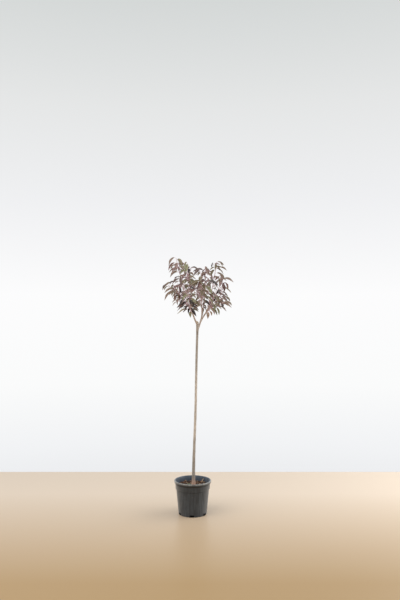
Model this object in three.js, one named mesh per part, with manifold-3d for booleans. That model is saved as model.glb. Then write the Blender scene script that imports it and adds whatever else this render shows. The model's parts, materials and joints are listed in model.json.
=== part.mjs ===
import * as THREE from 'three';
import { mergeVertices } from 'three/addons/utils/BufferGeometryUtils.js';
import Module from 'manifold-3d';

// A purple-leaved Japanese cherry, grafted at the top of a clear stem and growing in a nursery pot.
// Sizes are in millimetres and angles in degrees. The origin is the centre of the pot's flat
// underside, +Z is up and the plant's front faces -Y.

const wasm = await Module();
wasm.setup();
const { Manifold } = wasm;

// Driving dimensions: the gap that touching pieces keep
const SEAT_GAP = 0.3;

// Driving dimensions: the pot, with a band under its rim and drain notches round its foot
const POT_HEIGHT = 252;
const POT_BASE_RADIUS = 107;
const POT_SHOULDER_RADIUS = 124.5;
const POT_SHOULDER_HEIGHT = 186;
const POT_BAND_RADIUS = 128;
const POT_NECK_RADIUS = 130;
const POT_RIM_RADIUS = 140;
const POT_RIM_DROP = 17;
const POT_WALL = 2.5;
const POT_SIDES = 32;
const STEP_RISE = 4;
const NOTCH_COUNT = 6;
const NOTCH_TURN = -3.5;
const NOTCH_WIDTH = 30;
const NOTCH_HEIGHT = 13;
const NOTCH_REACH = 30;

// Driving dimensions: the soil, flat round the stem and a little lower at the pot's wall
const SOIL_HEIGHT = 212;
const SOIL_FLAT_RADIUS = 60;
const SOIL_EDGE_DROP = 6;

// Driving dimensions: the trunk, which leans to the right and swells at the graft. Each pair is a
// share of its height and the radius there.
const TRUNK_FOOT_X = 6;
const TRUNK_TOP_X = 37;
const TRUNK_TOP_HEIGHT = 1455;
const TRUNK_SWAY = 2.5;
const TRUNK_STEPS = 14;
const TRUNK_SIDES = 10;
const TRUNK_RADII = [
  [0, 15.5], [0.025, 13.5], [0.09, 11.8], [0.25, 10], [0.5, 9.2],
  [0.92, 8.8], [0.96, 10.2], [0.985, 10.8], [1, 8.8],
];

// Driving dimensions: the shoots, each as its name, its parent, its seat as a share along that
// parent, its tip, its flare, its bare share, its radius at the seat and its seed. The flare is how
// much of its way out it has gone by its first bend. The bare lower share is the bough, and the rest
// is the stem of a mass of foliage.
const SHOOTS = [
  ['left', 'trunk', 0.975, [-38, -110, 1882], 1, 0.4, 6.8, 47],
  ['centre', 'trunk', 0.94, [98, 75, 1868], 1, 0.38, 7, 37],
  ['right', 'centre', 0.15, [232, 55, 1792], 0.36, 0.35, 5.6, 83],
  ['upper_left', 'left', 0.34, [-127, 45, 1936], 0.36, 0.1, 4.6, 39],
  ['side_left', 'left', 0.235, [-152, -70, 1735], 0.36, 0.14, 4.4, 88],
  ['lower_left', 'left', 0.17, [-50, -160, 1630], 0.5, 0.2, 4, 41],
  ['back_left', 'left', 0.3, [-105, 155, 1690], 0.36, 0.14, 4.2, 24],
  ['front', 'centre', 0.24, [62, -210, 1770], 0.36, 0.17, 4.6, 81],
  ['back', 'centre', 0.32, [20, 215, 1750], 0.36, 0.16, 4.6, 89],
  ['upper_right', 'right', 0.29, [178, -60, 1892], 0.36, 0.1, 4.6, 49],
  ['side_right', 'right', 0.23, [222, -105, 1672], 0.36, 0.16, 4.4, 7],
  ['lower_right', 'right', 0.15, [160, 130, 1615], 0.5, 0.2, 4, 26],
];
const SHOOT_TIP_RADIUS = 1.4;
const SHOOT_TAPER = 0.8;
const BOUGH_SIDES = 7;
const BOUGH_STEPS = 5;
const STEM_STEPS = 6;

// Driving dimensions: the side twigs of a mass, spread between two shares of its stem
const TWIG_COUNT = 5;
const TWIG_FIRST = 0.12;
const TWIG_LAST = 0.72;
const TWIG_SCATTER = 0.04;
const TWIG_LENGTH = 120;
const TWIG_LENGTH_RANGE = [0.75, 1.2];
const TWIG_SHORTENING = 0.5;
const TWIG_TURN_SCATTER = 20;
const TWIG_ANGLE = 50;
const TWIG_LIFT = 0.25;
const TWIG_RADIUS = 2.2;
const TWIG_TIP_RADIUS = 1.3;
const TWIG_STEPS = 3;
const TWIG_SIDES = 3;

// Driving dimensions: the leaves. Each stands further round its twig than the one before it, and
// arches over towards the ground.
const LEAF_SPACING = 21;
const LEAF_LAST = 0.985;
const LEAF_TURN = 137.5;
const LEAF_TURN_SCATTER = 12;
const LEAF_ANGLE = 62;
const LEAF_ANGLE_AT_TIP = 38;
const LEAF_DROOP_RANGE = [0.35, 0.85];
const LEAF_EXTRA_DROOP_AT_TIP = 0.25;
const LEAF_LENGTH = 98;
const LEAF_LENGTH_RANGE = [0.82, 1.14];
const LEAF_WIDTH = 36;
const LEAF_THICKNESS = 1.7;
const LEAF_WIDEST = 0.45;
const LEAF_MAX_ROLL = 35;
const PETIOLE_LENGTH = 17;
const PETIOLE_WIDTH = 2.6;
const PETIOLE_ROOT_WIDTH = 1;
const STEM_LEAVES_FROM = 0.1;
const TWIG_LEAVES_FROM = 0.3;

// Driving dimensions: the room that twigs and leaves keep. Where one has none it is tried again,
// further round its twig and a little smaller, and in the end left out.
const SPACE_MARGIN = 3.5;
const LIMB_MARGIN = 4;
const LEAF_APART = 12;
const TWIG_APART = 6;
const TRIES = 8;
const RETRY_TURN = 61;
const RETRY_SHRINK = 0.03;

// Random numbers come from a multiplying generator, so the same seed always grows the same shoot.
const SEED_SPREAD = 7919;
const RANDOM_STEP = 48271;
const RANDOM_SPAN = 2147483647;

const UP = new THREE.Vector3(0, 0, 1);
const toRadians = THREE.MathUtils.degToRad;

const finish = (color, roughness) => new THREE.MeshStandardMaterial({ color, roughness, metalness: 0 });
const POT_FINISH = finish(0x3c3d3e, 0.55);
const SOIL_FINISH = finish(0x4a3527, 0.95);
const BARK_FINISH = finish(0x85705f, 0.8);
const LEAF_FINISH = finish(0x54373a, 0.6);

const group = new THREE.Group();

function addPiece(name, geometry, material) {
  const mesh = new THREE.Mesh(geometry, material);
  mesh.name = name;
  group.add(mesh);
}

function blend(low, high, share) {
  return low + (high - low) * share;
}

function randomFrom(seed) {
  let state = seed * SEED_SPREAD;
  return (low, high) => {
    state = (state * RANDOM_STEP) % RANDOM_SPAN;
    return blend(low, high, state / RANDOM_SPAN);
  };
}

// Solids

// Merges a geometry's shared corners and drops the triangles that this closes up.
function welded(geometry) {
  const bare = geometry.clone();
  bare.deleteAttribute('normal');
  bare.deleteAttribute('uv');
  const merged = mergeVertices(bare);
  const corners = Array.from(merged.index.array);
  const kept = [];
  for (let i = 0; i < corners.length; i += 3) {
    const [a, b, c] = corners.slice(i, i + 3);
    if (a !== b && b !== c && c !== a) kept.push(a, b, c);
  }
  merged.setIndex(kept);
  return merged;
}

function toSolid(geometry) {
  const merged = welded(geometry);
  return new Manifold(new wasm.Mesh({
    numProp: 3,
    vertProperties: new Float32Array(merged.attributes.position.array),
    triVerts: new Uint32Array(merged.index.array),
  }));
}

function shellVolume(corners, points) {
  const [a, b, c] = [new THREE.Vector3(), new THREE.Vector3(), new THREE.Vector3()];
  let volume = 0;
  for (let i = 0; i < corners.length; i += 3) {
    a.fromArray(points, corners[i] * 3);
    b.fromArray(points, corners[i + 1] * 3);
    c.fromArray(points, corners[i + 2] * 3);
    volume += a.dot(b.cross(c)) / 6;
  }
  return volume;
}

// Sorts a mesh's triangles into its separate shells: triangles that share a corner are in one shell.
function shellsOf(mesh) {
  const linked = Array.from({ length: mesh.vertProperties.length / 3 }, (_, i) => i);
  const rootOf = (i) => {
    let root = i;
    while (linked[root] !== root) root = linked[root];
    return root;
  };
  for (let i = 0; i < mesh.triVerts.length; i += 3) {
    const [a, b, c] = mesh.triVerts.slice(i, i + 3);
    linked[rootOf(a)] = rootOf(b);
    linked[rootOf(b)] = rootOf(c);
  }
  const shells = new Map();
  for (let i = 0; i < mesh.triVerts.length; i += 3) {
    const root = rootOf(mesh.triVerts[i]);
    if (!shells.has(root)) shells.set(root, []);
    shells.get(root).push(...mesh.triVerts.slice(i, i + 3));
  }
  return [...shells.values()];
}

// Turns a solid back into a geometry. Only its largest shell is kept, which fills each hollow that
// joining sealed and drops each loose scrap.
function toGeometry(solid) {
  const mesh = solid.getMesh();
  const points = new Float32Array(mesh.vertProperties);
  const volumeOf = (shell) => shellVolume(shell, points);
  const [largest] = shellsOf(mesh).sort((one, other) => volumeOf(other) - volumeOf(one));
  const geometry = new THREE.BufferGeometry();
  geometry.setAttribute('position', new THREE.BufferAttribute(points, 3));
  geometry.setIndex(largest);
  return geometry.toNonIndexed();
}

// Bends a cylinder along a row of points, with one ring at each point and a radius for each ring.
function limbGeometry(points, radii, sides) {
  const steps = points.length - 1;
  const tube = new THREE.CylinderGeometry(1, 1, steps, sides, steps);
  const tangents = points.map((_, i) => {
    const before = points[Math.max(i - 1, 0)];
    const after = points[Math.min(i + 1, steps)];
    return after.clone().sub(before).normalize();
  });
  const sideways = [new THREE.Vector3(1, 0, 0).cross(tangents[0]).normalize()];
  for (let i = 1; i <= steps; i += 1) {
    const side = sideways[i - 1].clone();
    sideways.push(side.addScaledVector(tangents[i], -side.dot(tangents[i])).normalize());
  }
  const position = tube.attributes.position;
  for (let v = 0; v < position.count; v += 1) {
    const ring = Math.round(position.getY(v) + steps / 2);
    const across = tangents[ring].clone().cross(sideways[ring]);
    const corner = points[ring].clone();
    corner.addScaledVector(across, position.getX(v) * radii[ring]);
    corner.addScaledVector(sideways[ring], position.getZ(v) * radii[ring]);
    position.setXYZ(v, corner.x, corner.y, corner.z);
  }
  return tube;
}

// Turns a profile of [radius, height] pairs about the Z axis.
function turned(profile) {
  const geometry = new THREE.LatheGeometry(profile.map((pair) => new THREE.Vector2(...pair)), POT_SIDES);
  geometry.rotateX(Math.PI / 2);
  return geometry;
}

// Pot: a thin moulded shell, open below its rolled rim

function potProfile() {
  const neckInside = POT_NECK_RADIUS - POT_WALL;
  const rimInside = POT_RIM_RADIUS - POT_WALL;
  const rimFoot = POT_HEIGHT - POT_RIM_DROP;
  return [
    [0, 0],
    [POT_BASE_RADIUS - 3, 0],
    [POT_BASE_RADIUS, 3],
    [POT_SHOULDER_RADIUS, POT_SHOULDER_HEIGHT],
    [POT_BAND_RADIUS, POT_SHOULDER_HEIGHT + STEP_RISE],
    [POT_NECK_RADIUS, POT_HEIGHT - POT_WALL - 2],
    [rimInside, POT_HEIGHT - POT_WALL - 2],
    [rimInside, rimFoot],
    [POT_RIM_RADIUS, rimFoot],
    [POT_RIM_RADIUS, POT_HEIGHT - 4],
    [rimInside, POT_HEIGHT],
    [neckInside + 2, POT_HEIGHT],
    [neckInside, POT_HEIGHT - 3],
    [POT_BAND_RADIUS - POT_WALL, POT_SHOULDER_HEIGHT + STEP_RISE],
    [POT_SHOULDER_RADIUS - POT_WALL, POT_SHOULDER_HEIGHT],
    [POT_BASE_RADIUS - POT_WALL, POT_WALL],
    [0, POT_WALL],
  ];
}

// An arch through the wall at the foot, the first one facing the front.
function notchCutter(index) {
  const half = NOTCH_WIDTH / 2;
  const arch = new THREE.Shape();
  arch.moveTo(-half, -SEAT_GAP);
  arch.lineTo(half, -SEAT_GAP);
  arch.lineTo(half, NOTCH_HEIGHT / 2);
  arch.lineTo(half / 2, NOTCH_HEIGHT);
  arch.lineTo(-half / 2, NOTCH_HEIGHT);
  arch.lineTo(-half, NOTCH_HEIGHT / 2);
  const cutter = new THREE.ExtrudeGeometry(arch, { depth: NOTCH_REACH, bevelEnabled: false });
  cutter.rotateX(Math.PI / 2);
  cutter.translate(0, NOTCH_REACH / 2 - POT_BASE_RADIUS, 0);
  cutter.rotateZ(toRadians(NOTCH_TURN + (360 * index) / NOTCH_COUNT));
  return toSolid(cutter);
}

function makePot() {
  let pot = toSolid(turned(potProfile()));
  for (let index = 0; index < NOTCH_COUNT; index += 1) pot = pot.subtract(notchCutter(index));
  addPiece('pot', toGeometry(pot), POT_FINISH);
}

// Soil: one filling, clear of the pot's floor and wall all round

function soilProfile() {
  const inset = POT_WALL + SEAT_GAP;
  return [
    [0, inset],
    [POT_BASE_RADIUS - inset, inset],
    [POT_SHOULDER_RADIUS - inset, POT_SHOULDER_HEIGHT],
    [POT_BAND_RADIUS - inset, POT_SHOULDER_HEIGHT + STEP_RISE + SEAT_GAP],
    [POT_BAND_RADIUS - inset, SOIL_HEIGHT - SOIL_EDGE_DROP],
    [SOIL_FLAT_RADIUS, SOIL_HEIGHT],
    [0, SOIL_HEIGHT],
  ];
}

function makeSoil() {
  addPiece('soil', welded(turned(soilProfile())), SOIL_FINISH);
}

// Trunk: one tapering stem, cut flat where it stands on the soil

function trunkPoint(share) {
  const sway = TRUNK_SWAY * Math.sin(share * 3 * Math.PI);
  return new THREE.Vector3(
    blend(TRUNK_FOOT_X, TRUNK_TOP_X, share) - sway * (1 - share),
    sway * share,
    blend(SOIL_HEIGHT + SEAT_GAP, TRUNK_TOP_HEIGHT, share),
  );
}

function trunkRadius(share) {
  const next = Math.max(1, TRUNK_RADII.findIndex(([at]) => at >= share));
  const [fromShare, fromRadius] = TRUNK_RADII[next - 1];
  const [toShare, toRadius] = TRUNK_RADII[next];
  return blend(fromRadius, toRadius, (share - fromShare) / (toShare - fromShare));
}

// Even steps up the trunk, with the shares where its taper changes put in between them.
function trunkShares() {
  const even = Array.from({ length: TRUNK_STEPS + 1 }, (_, i) => i / TRUNK_STEPS);
  const isNew = (share) => even.every((other) => Math.abs(other - share) > 0.2 / TRUNK_STEPS);
  return [...even, ...TRUNK_RADII.map(([share]) => share).filter(isNew)].sort((one, other) => one - other);
}

function trunkGeometry(extraRadius) {
  const shares = trunkShares();
  const radii = shares.map((share) => trunkRadius(share) + extraRadius);
  return limbGeometry(shares.map(trunkPoint), radii, TRUNK_SIDES);
}

function makeTrunk() {
  addPiece('trunk', welded(trunkGeometry(0)), BARK_FINISH);
}

// Shoots and their boughs

// A shoot sets off outwards and then turns up towards its tip.
function shootCurve(start, tip, flare) {
  const reach = tip.clone().sub(start);
  const bend = (out, up) => start.clone().add(new THREE.Vector3(reach.x * out, reach.y * out, reach.z * up));
  return new THREE.CubicBezierCurve3(start, bend(flare, 0.3), bend(blend(flare, 1, 0.7), 0.7), tip);
}

function pointsAlong(curve, from, to, steps) {
  return Array.from({ length: steps + 1 }, (_, i) => curve.getPoint(blend(from, to, i / steps)));
}

// Lays out every shoot before any of it grows. The stem starts just clear of its bough's tip.
function planShoots() {
  const shoots = new Map();
  for (const [name, parent, seatShare, tip, flare, bare, root, seed] of SHOOTS) {
    const seat = parent === 'trunk' ? trunkPoint(seatShare) : shoots.get(parent).curve.getPoint(seatShare);
    const curve = shootCurve(seat, new THREE.Vector3(...tip), flare);
    const stem = pointsAlong(curve, bare, 1, STEM_STEPS);
    stem[0].addScaledVector(curve.getTangent(bare), SEAT_GAP);
    const barePath = pointsAlong(curve, 0, bare, BOUGH_STEPS);
    const radiusAt = (share) => blend(root, SHOOT_TIP_RADIUS, share ** SHOOT_TAPER);
    shoots.set(name, { name, parent, bare, root, seed, curve, stem, barePath, radiusAt });
  }
  return shoots;
}

function boughGeometry(shoot, extraRadius) {
  const radii = shoot.barePath.map((_, i) => shoot.radiusAt((shoot.bare * i) / BOUGH_STEPS) + extraRadius);
  return limbGeometry(shoot.barePath, radii, BOUGH_SIDES);
}

// Each bough is cut to the surface of the limb that carries it.
function makeBoughs(shoots) {
  for (const shoot of shoots.values()) {
    const carrier = shoots.get(shoot.parent);
    const seat = carrier ? boughGeometry(carrier, SEAT_GAP) : trunkGeometry(SEAT_GAP);
    const bough = toSolid(boughGeometry(shoot, 0)).subtract(toSolid(seat));
    addPiece(`bough_${shoot.name}`, toGeometry(bough), BARK_FINISH);
  }
}

// Room

function distanceToPath(point, path) {
  const line = new THREE.Line3();
  const nearest = new THREE.Vector3();
  let best = Infinity;
  for (let i = 1; i < path.length; i += 1) {
    line.set(path[i - 1], path[i]).closestPointToPoint(point, true, nearest);
    best = Math.min(best, nearest.distanceTo(point));
  }
  return best;
}

// A mass keeps to the space that is nearer to its own stem than to any other, and off every limb.
function isOwnSpace(point, shoot, shoots) {
  const own = distanceToPath(point, shoot.stem) + 2 * SPACE_MARGIN;
  for (const other of shoots.values()) {
    if (other !== shoot && distanceToPath(point, other.stem) < own) return false;
    if (distanceToPath(point, other.barePath) < other.root + LIMB_MARGIN) return false;
  }
  return distanceToPath(point, trunkShares().map(trunkPoint)) > TRUNK_RADII[0][1];
}

// A leaf stays off its mass's own twigs and its other leaves.
function isClear(point, shoot) {
  if (shoot.taken.some((other) => point.distanceTo(other) < LEAF_APART)) return false;
  return [shoot.stem, ...shoot.twigs].every((path) => distanceToPath(point, path) > TWIG_APART);
}

// The direction that leaves a twig at an angle to it, on the side that a bearing round it gives.
function heading(along, bearing, angle) {
  const side = along.clone().cross(UP).normalize();
  const upper = side.clone().cross(along);
  const [around, lean] = [toRadians(bearing), toRadians(angle)];
  const outward = side.multiplyScalar(Math.cos(around)).addScaledVector(upper, Math.sin(around));
  return outward.multiplyScalar(Math.sin(lean)).addScaledVector(along, Math.cos(lean));
}

// Leaves

// A stalk and a blade in two stretches, each turned further down than the one before.
function leafShape(at, along, bearing, form) {
  const blade = form.length - PETIOLE_LENGTH;
  const first = heading(along, bearing, form.angle);
  const second = first.clone().addScaledVector(UP, -form.droop).normalize();
  const third = second.clone().addScaledVector(UP, -form.droop).normalize();
  const stalkEnd = at.clone().addScaledVector(first, PETIOLE_LENGTH);
  const middle = stalkEnd.clone().addScaledVector(second, blade * LEAF_WIDEST);
  const tip = middle.clone().addScaledVector(third, blade * (1 - LEAF_WIDEST));
  const level = second.clone().cross(UP).normalize();
  const face = level.clone().cross(second);
  const roll = toRadians(form.roll);
  const side = level.multiplyScalar(Math.cos(roll)).addScaledVector(face, Math.sin(roll));
  return { at, stalkEnd, middle, tip, side, halfWidth: (LEAF_WIDTH * form.length) / LEAF_LENGTH / 2 };
}

// Points over the blade that stand for it where its room is tested.
function leafSamples(leaf) {
  const samples = [0.5, 1].map((share) => leaf.stalkEnd.clone().lerp(leaf.middle, share));
  for (const share of [0.25, 0.5, 0.75, 1]) samples.push(leaf.middle.clone().lerp(leaf.tip, share));
  for (const half of [-leaf.halfWidth, leaf.halfWidth]) {
    samples.push(leaf.middle.clone().addScaledVector(leaf.side, half));
    samples.push(leaf.middle.clone().lerp(leaf.tip, 0.4).addScaledVector(leaf.side, half * 0.6));
  }
  return samples;
}

// Three three-cornered rings and a tip: flat above, with the midrib standing out below.
function leafGeometry(leaf) {
  const run = leaf.middle.clone().sub(leaf.stalkEnd).normalize();
  const under = run.cross(leaf.side).normalize();
  const rings = [
    [leaf.at, PETIOLE_ROOT_WIDTH, PETIOLE_ROOT_WIDTH],
    [leaf.stalkEnd, PETIOLE_WIDTH, PETIOLE_WIDTH],
    [leaf.middle, 2 * leaf.halfWidth, LEAF_THICKNESS],
  ];
  const corners = [];
  for (const [centre, width, depth] of rings) {
    corners.push(centre.clone().addScaledVector(leaf.side, -width / 2));
    corners.push(centre.clone().addScaledVector(leaf.side, width / 2));
    corners.push(centre.clone().addScaledVector(under, depth));
  }
  const tip = corners.push(leaf.tip) - 1;
  const faces = [0, 2, 1];
  for (let i = 0; i < 3; i += 1) {
    const next = (i + 1) % 3;
    faces.push(i, next, next + 3, i, next + 3, i + 3);
    faces.push(i + 3, next + 3, next + 6, i + 3, next + 6, i + 6);
    faces.push(i + 6, next + 6, tip);
  }
  const geometry = new THREE.BufferGeometry().setFromPoints(corners);
  geometry.setIndex(faces);
  return geometry;
}

// Grows leaves along a twig from a share of its length to its tip.
function growLeaves(shoot, shoots, random, path, from) {
  const curve = new THREE.CatmullRomCurve3(path);
  const count = Math.max(2, Math.round((curve.getLength() * (1 - from)) / LEAF_SPACING));
  for (let i = 0; i <= count; i += 1) {
    const share = blend(from, LEAF_LAST, i / count);
    const at = curve.getPointAt(share);
    const along = curve.getTangentAt(share);
    const nearTip = share ** 3;
    const length = LEAF_LENGTH * random(...LEAF_LENGTH_RANGE);
    const droop = random(...LEAF_DROOP_RANGE) + LEAF_EXTRA_DROOP_AT_TIP * nearTip;
    const roll = random(-LEAF_MAX_ROLL, LEAF_MAX_ROLL);
    const angle = blend(LEAF_ANGLE, LEAF_ANGLE_AT_TIP, nearTip);
    shoot.turn += LEAF_TURN + random(-LEAF_TURN_SCATTER, LEAF_TURN_SCATTER);
    for (let attempt = 0; attempt < TRIES; attempt += 1) {
      const form = { length: length * (1 - RETRY_SHRINK * attempt), droop, roll, angle };
      const leaf = leafShape(at, along, shoot.turn, form);
      const samples = leafSamples(leaf);
      if (samples.every((sample) => isClear(sample, shoot) && isOwnSpace(sample, shoot, shoots))) {
        shoot.taken.push(...samples);
        shoot.leaves.push(leaf);
        break;
      }
      shoot.turn += RETRY_TURN;
    }
  }
}

// Twigs

// Grows one side twig from a share of the stem, shorter towards the stem's tip and lifting upwards.
function growTwig(shoot, shoots, random, share) {
  const curve = new THREE.CatmullRomCurve3(shoot.stem);
  const at = curve.getPointAt(share);
  const along = curve.getTangentAt(share);
  const full = TWIG_LENGTH * random(...TWIG_LENGTH_RANGE) * (1 - TWIG_SHORTENING * share);
  shoot.turn += LEAF_TURN + random(-TWIG_TURN_SCATTER, TWIG_TURN_SCATTER);
  for (let attempt = 0; attempt < TRIES; attempt += 1) {
    const stride = (full * (1 - 3 * RETRY_SHRINK * attempt)) / TWIG_STEPS;
    const direction = heading(along, shoot.turn, TWIG_ANGLE);
    const path = [at];
    for (let i = 1; i <= TWIG_STEPS; i += 1) {
      const step = direction.clone().addScaledVector(UP, TWIG_LIFT * i).normalize();
      path.push(path[i - 1].clone().addScaledVector(step, stride));
    }
    if (path.slice(1).every((point) => isOwnSpace(point, shoot, shoots))) {
      shoot.twigs.push(path);
      return;
    }
    shoot.turn += RETRY_TURN;
  }
}

// Foliage: the stem, its twigs and their leaves, joined into one solid for each shoot

function growMass(shoot, shoots) {
  const random = randomFrom(shoot.seed);
  Object.assign(shoot, { turn: random(0, 360), twigs: [], leaves: [], taken: [] });
  for (let i = 0; i < TWIG_COUNT; i += 1) {
    const share = blend(TWIG_FIRST, TWIG_LAST, i / (TWIG_COUNT - 1));
    growTwig(shoot, shoots, random, share + random(-TWIG_SCATTER, TWIG_SCATTER));
  }
  growLeaves(shoot, shoots, random, shoot.stem, STEM_LEAVES_FROM);
  for (const path of shoot.twigs) growLeaves(shoot, shoots, random, path, TWIG_LEAVES_FROM);
}

function makeFoliage(shoots) {
  for (const shoot of shoots.values()) {
    growMass(shoot, shoots);
    const stemRadii = shoot.stem.map((_, i) => shoot.radiusAt(blend(shoot.bare, 1, i / STEM_STEPS)));
    const pieces = [limbGeometry(shoot.stem, stemRadii, TWIG_SIDES)];
    for (const path of shoot.twigs) {
      const radii = path.map((_, i) => blend(TWIG_RADIUS, TWIG_TIP_RADIUS, i / TWIG_STEPS));
      pieces.push(limbGeometry(path, radii, TWIG_SIDES));
    }
    pieces.push(...shoot.leaves.map(leafGeometry));
    addPiece(`foliage_${shoot.name}`, toGeometry(Manifold.union(pieces.map(toSolid))), LEAF_FINISH);
  }
}

makePot();
makeSoil();
makeTrunk();
const plannedShoots = planShoots();
makeBoughs(plannedShoots);
makeFoliage(plannedShoots);

export default group;
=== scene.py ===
# %% [markdown]
# # A potted cherry, dressed in Blender
#
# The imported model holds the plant's true sizes as plain solids. This lesson keeps their places and
# builds what the eye sees on them: bark with its relief, limbs that go on into finer twigs, several
# hundred leaves in their own outline, a moulded pot and the bark compost in it.
#
# Growth is worked out in millimetres, as in the model's source, and scaled to metres where a mesh is
# made.

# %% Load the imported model
import json
import math

import bmesh
import bpy
import numpy as np
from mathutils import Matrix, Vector, noise

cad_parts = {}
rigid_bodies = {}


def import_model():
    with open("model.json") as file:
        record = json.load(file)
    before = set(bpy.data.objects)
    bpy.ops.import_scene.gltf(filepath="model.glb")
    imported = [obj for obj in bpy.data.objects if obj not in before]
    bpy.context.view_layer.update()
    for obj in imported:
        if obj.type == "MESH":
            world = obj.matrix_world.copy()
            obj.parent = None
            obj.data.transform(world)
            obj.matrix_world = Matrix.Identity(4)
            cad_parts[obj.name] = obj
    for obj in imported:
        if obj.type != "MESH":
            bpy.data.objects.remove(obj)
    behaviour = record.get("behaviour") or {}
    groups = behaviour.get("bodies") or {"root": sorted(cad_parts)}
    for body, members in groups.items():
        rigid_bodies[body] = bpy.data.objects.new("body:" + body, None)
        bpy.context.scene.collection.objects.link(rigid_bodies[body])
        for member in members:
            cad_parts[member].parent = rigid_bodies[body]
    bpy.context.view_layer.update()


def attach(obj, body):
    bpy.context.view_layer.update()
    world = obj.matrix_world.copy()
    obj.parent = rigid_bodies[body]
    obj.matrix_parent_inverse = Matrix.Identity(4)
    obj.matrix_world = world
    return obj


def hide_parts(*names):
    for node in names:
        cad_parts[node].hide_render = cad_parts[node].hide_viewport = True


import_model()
MM = 0.001

# %% [markdown]
# ## Camera
#
# The photograph's lines give a lens of about 35 mm on a 36 mm side, held level 1.43 m above the
# floor and 4.4 m away. Its horizon lies a little below the middle of the frame and its vanishing
# point a little to the left. A tilted camera would make the upright lines lean together, so the
# lens is shifted by just that much instead.

# %% Camera
LENS_PIXELS = 581
PHOTO_HEIGHT_PIXELS = 600
SENSOR_SIDE = 36
CAMERA_DISTANCE = 4.4
CAMERA_HEIGHT = 1.428
HORIZON_BELOW_MIDDLE_PIXELS = 24.5
VANISHING_LEFT_OF_MIDDLE_PIXELS = 7.3

camera_data = bpy.data.cameras.new("camera")
camera_data.sensor_width = SENSOR_SIDE
camera_data.lens = LENS_PIXELS / PHOTO_HEIGHT_PIXELS * SENSOR_SIDE
camera_data.shift_x = VANISHING_LEFT_OF_MIDDLE_PIXELS / PHOTO_HEIGHT_PIXELS
camera_data.shift_y = HORIZON_BELOW_MIDDLE_PIXELS / PHOTO_HEIGHT_PIXELS
camera = bpy.data.objects.new("camera", camera_data)
camera.location = (0, -CAMERA_DISTANCE, CAMERA_HEIGHT)
camera.rotation_euler = (math.radians(90), 0, 0)
bpy.context.scene.collection.objects.link(camera)
bpy.context.scene.camera = camera
print("lens", round(camera_data.lens, 2), "mm")

# %% [markdown]
# ## Nodes
#
# The sky, the floor and every finish are made from nodes. One function that adds a node and fills
# its inputs keeps each later recipe short enough to read as a list of what goes into what.


# %% Helpers for nodes
def add_node(tree, kind, inputs=(), **settings):
    """Adds a node, sets its settings, and fills its inputs with values or links."""
    node = tree.nodes.new(kind)
    for name, value in settings.items():
        setattr(node, name, value)
    # The settings come first, because a group node has no inputs before its tree is set
    for key, value in dict(inputs).items():
        if isinstance(value, bpy.types.NodeSocket):
            tree.links.new(value, node.inputs[key])
        else:
            node.inputs[key].default_value = value
    return node


def start_material(name, roughness):
    """A material whose shader has a plain roughness, with its tree."""
    material = bpy.data.materials.new(name)
    material.use_nodes = True
    tree = material.node_tree
    shader = tree.nodes["Principled BSDF"]
    shader.inputs["Roughness"].default_value = roughness
    return material, tree, shader


def color_along(tree, space, axis, stops):
    """A colour that changes along one axis, through stops of a place and its colour."""
    lowest, highest = stops[0][0], stops[-1][0]
    corner = add_node(tree, "ShaderNodeTexCoord").outputs[space]
    place = add_node(tree, "ShaderNodeSeparateXYZ", {"Vector": corner}).outputs[axis]
    limits = {"Value": place, "From Min": lowest, "From Max": highest}
    share = add_node(tree, "ShaderNodeMapRange", limits).outputs["Result"]
    ramp = add_node(tree, "ShaderNodeValToRGB", {"Fac": share})
    elements = ramp.color_ramp.elements
    while len(elements) < len(stops):
        elements.new(1)
    for element, (level, color) in zip(elements, stops):
        element.position = (level - lowest) / (highest - lowest)
        element.color = color
    return ramp.outputs["Color"]


# %% [markdown]
# ## Light and floor
#
# A white studio lights the plant from all sides. A pale sky that darkens a little overhead gives
# that, and two large soft lamps add the brighter left side and a gentle shadow. The standard view
# keeps white as white, which a filmic view would grey.

# %% Light and floor
# Height of the view's direction, and the colour there
SKY_STOPS = (
    (-0.3, (0.78, 0.79, 0.81, 1)),
    (-0.2, (0.885, 0.895, 0.91, 1)),
    (-0.1, (0.96, 0.965, 0.965, 1)),
    (0.05, (0.975, 0.975, 0.98, 1)),
    (0.2, (0.87, 0.875, 0.89, 1)),
    (0.35, (0.785, 0.795, 0.795, 1)),
    (0.5, (0.65, 0.675, 0.67, 1)),
)
# Painted light: the floor's colour is paler towards the light. Place along Y, and the colour there
FLOOR_PAINTED_LIGHT = (
    (-1.2, (0.42, 0.265, 0.115, 1)),
    (0.5, (0.72, 0.58, 0.45, 1)),
)
FLOOR_ROUGHNESS = 0.38
FLOOR_HALF_WIDTH = 9
FLOOR_NEAR = -8
FLOOR_FAR = 1.229
# Name, place, the point it faces, side, power, colour
LAMPS = (
    ("key", (-2.6, -2, 3.6), (0, 0, 1.2), 4.5, 102, (1, 0.98, 0.95)),
    ("fill", (3, 0.4, 1.8), (0, 0, 0.6), 3.5, 82, (0.96, 0.98, 1)),
)


def add_lamp(name, place, target, size, power, color):
    """Adds a square soft lamp that faces a point."""
    data = bpy.data.lights.new(name, "AREA")
    data.size = size
    data.energy = power
    data.color = color
    lamp = bpy.data.objects.new(name, data)
    lamp.location = place
    lamp.rotation_euler = (Vector(target) - Vector(place)).to_track_quat("-Z", "Y").to_euler()
    bpy.context.scene.collection.objects.link(lamp)


def make_sky():
    """Gives the world a pale colour that is brightest at eye level."""
    world = bpy.data.worlds.new("studio")
    world.use_nodes = True
    tree = world.node_tree
    color = color_along(tree, "Generated", "Z", SKY_STOPS)
    tree.links.new(color, tree.nodes["Background"].inputs["Color"])
    bpy.context.scene.world = world


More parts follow.
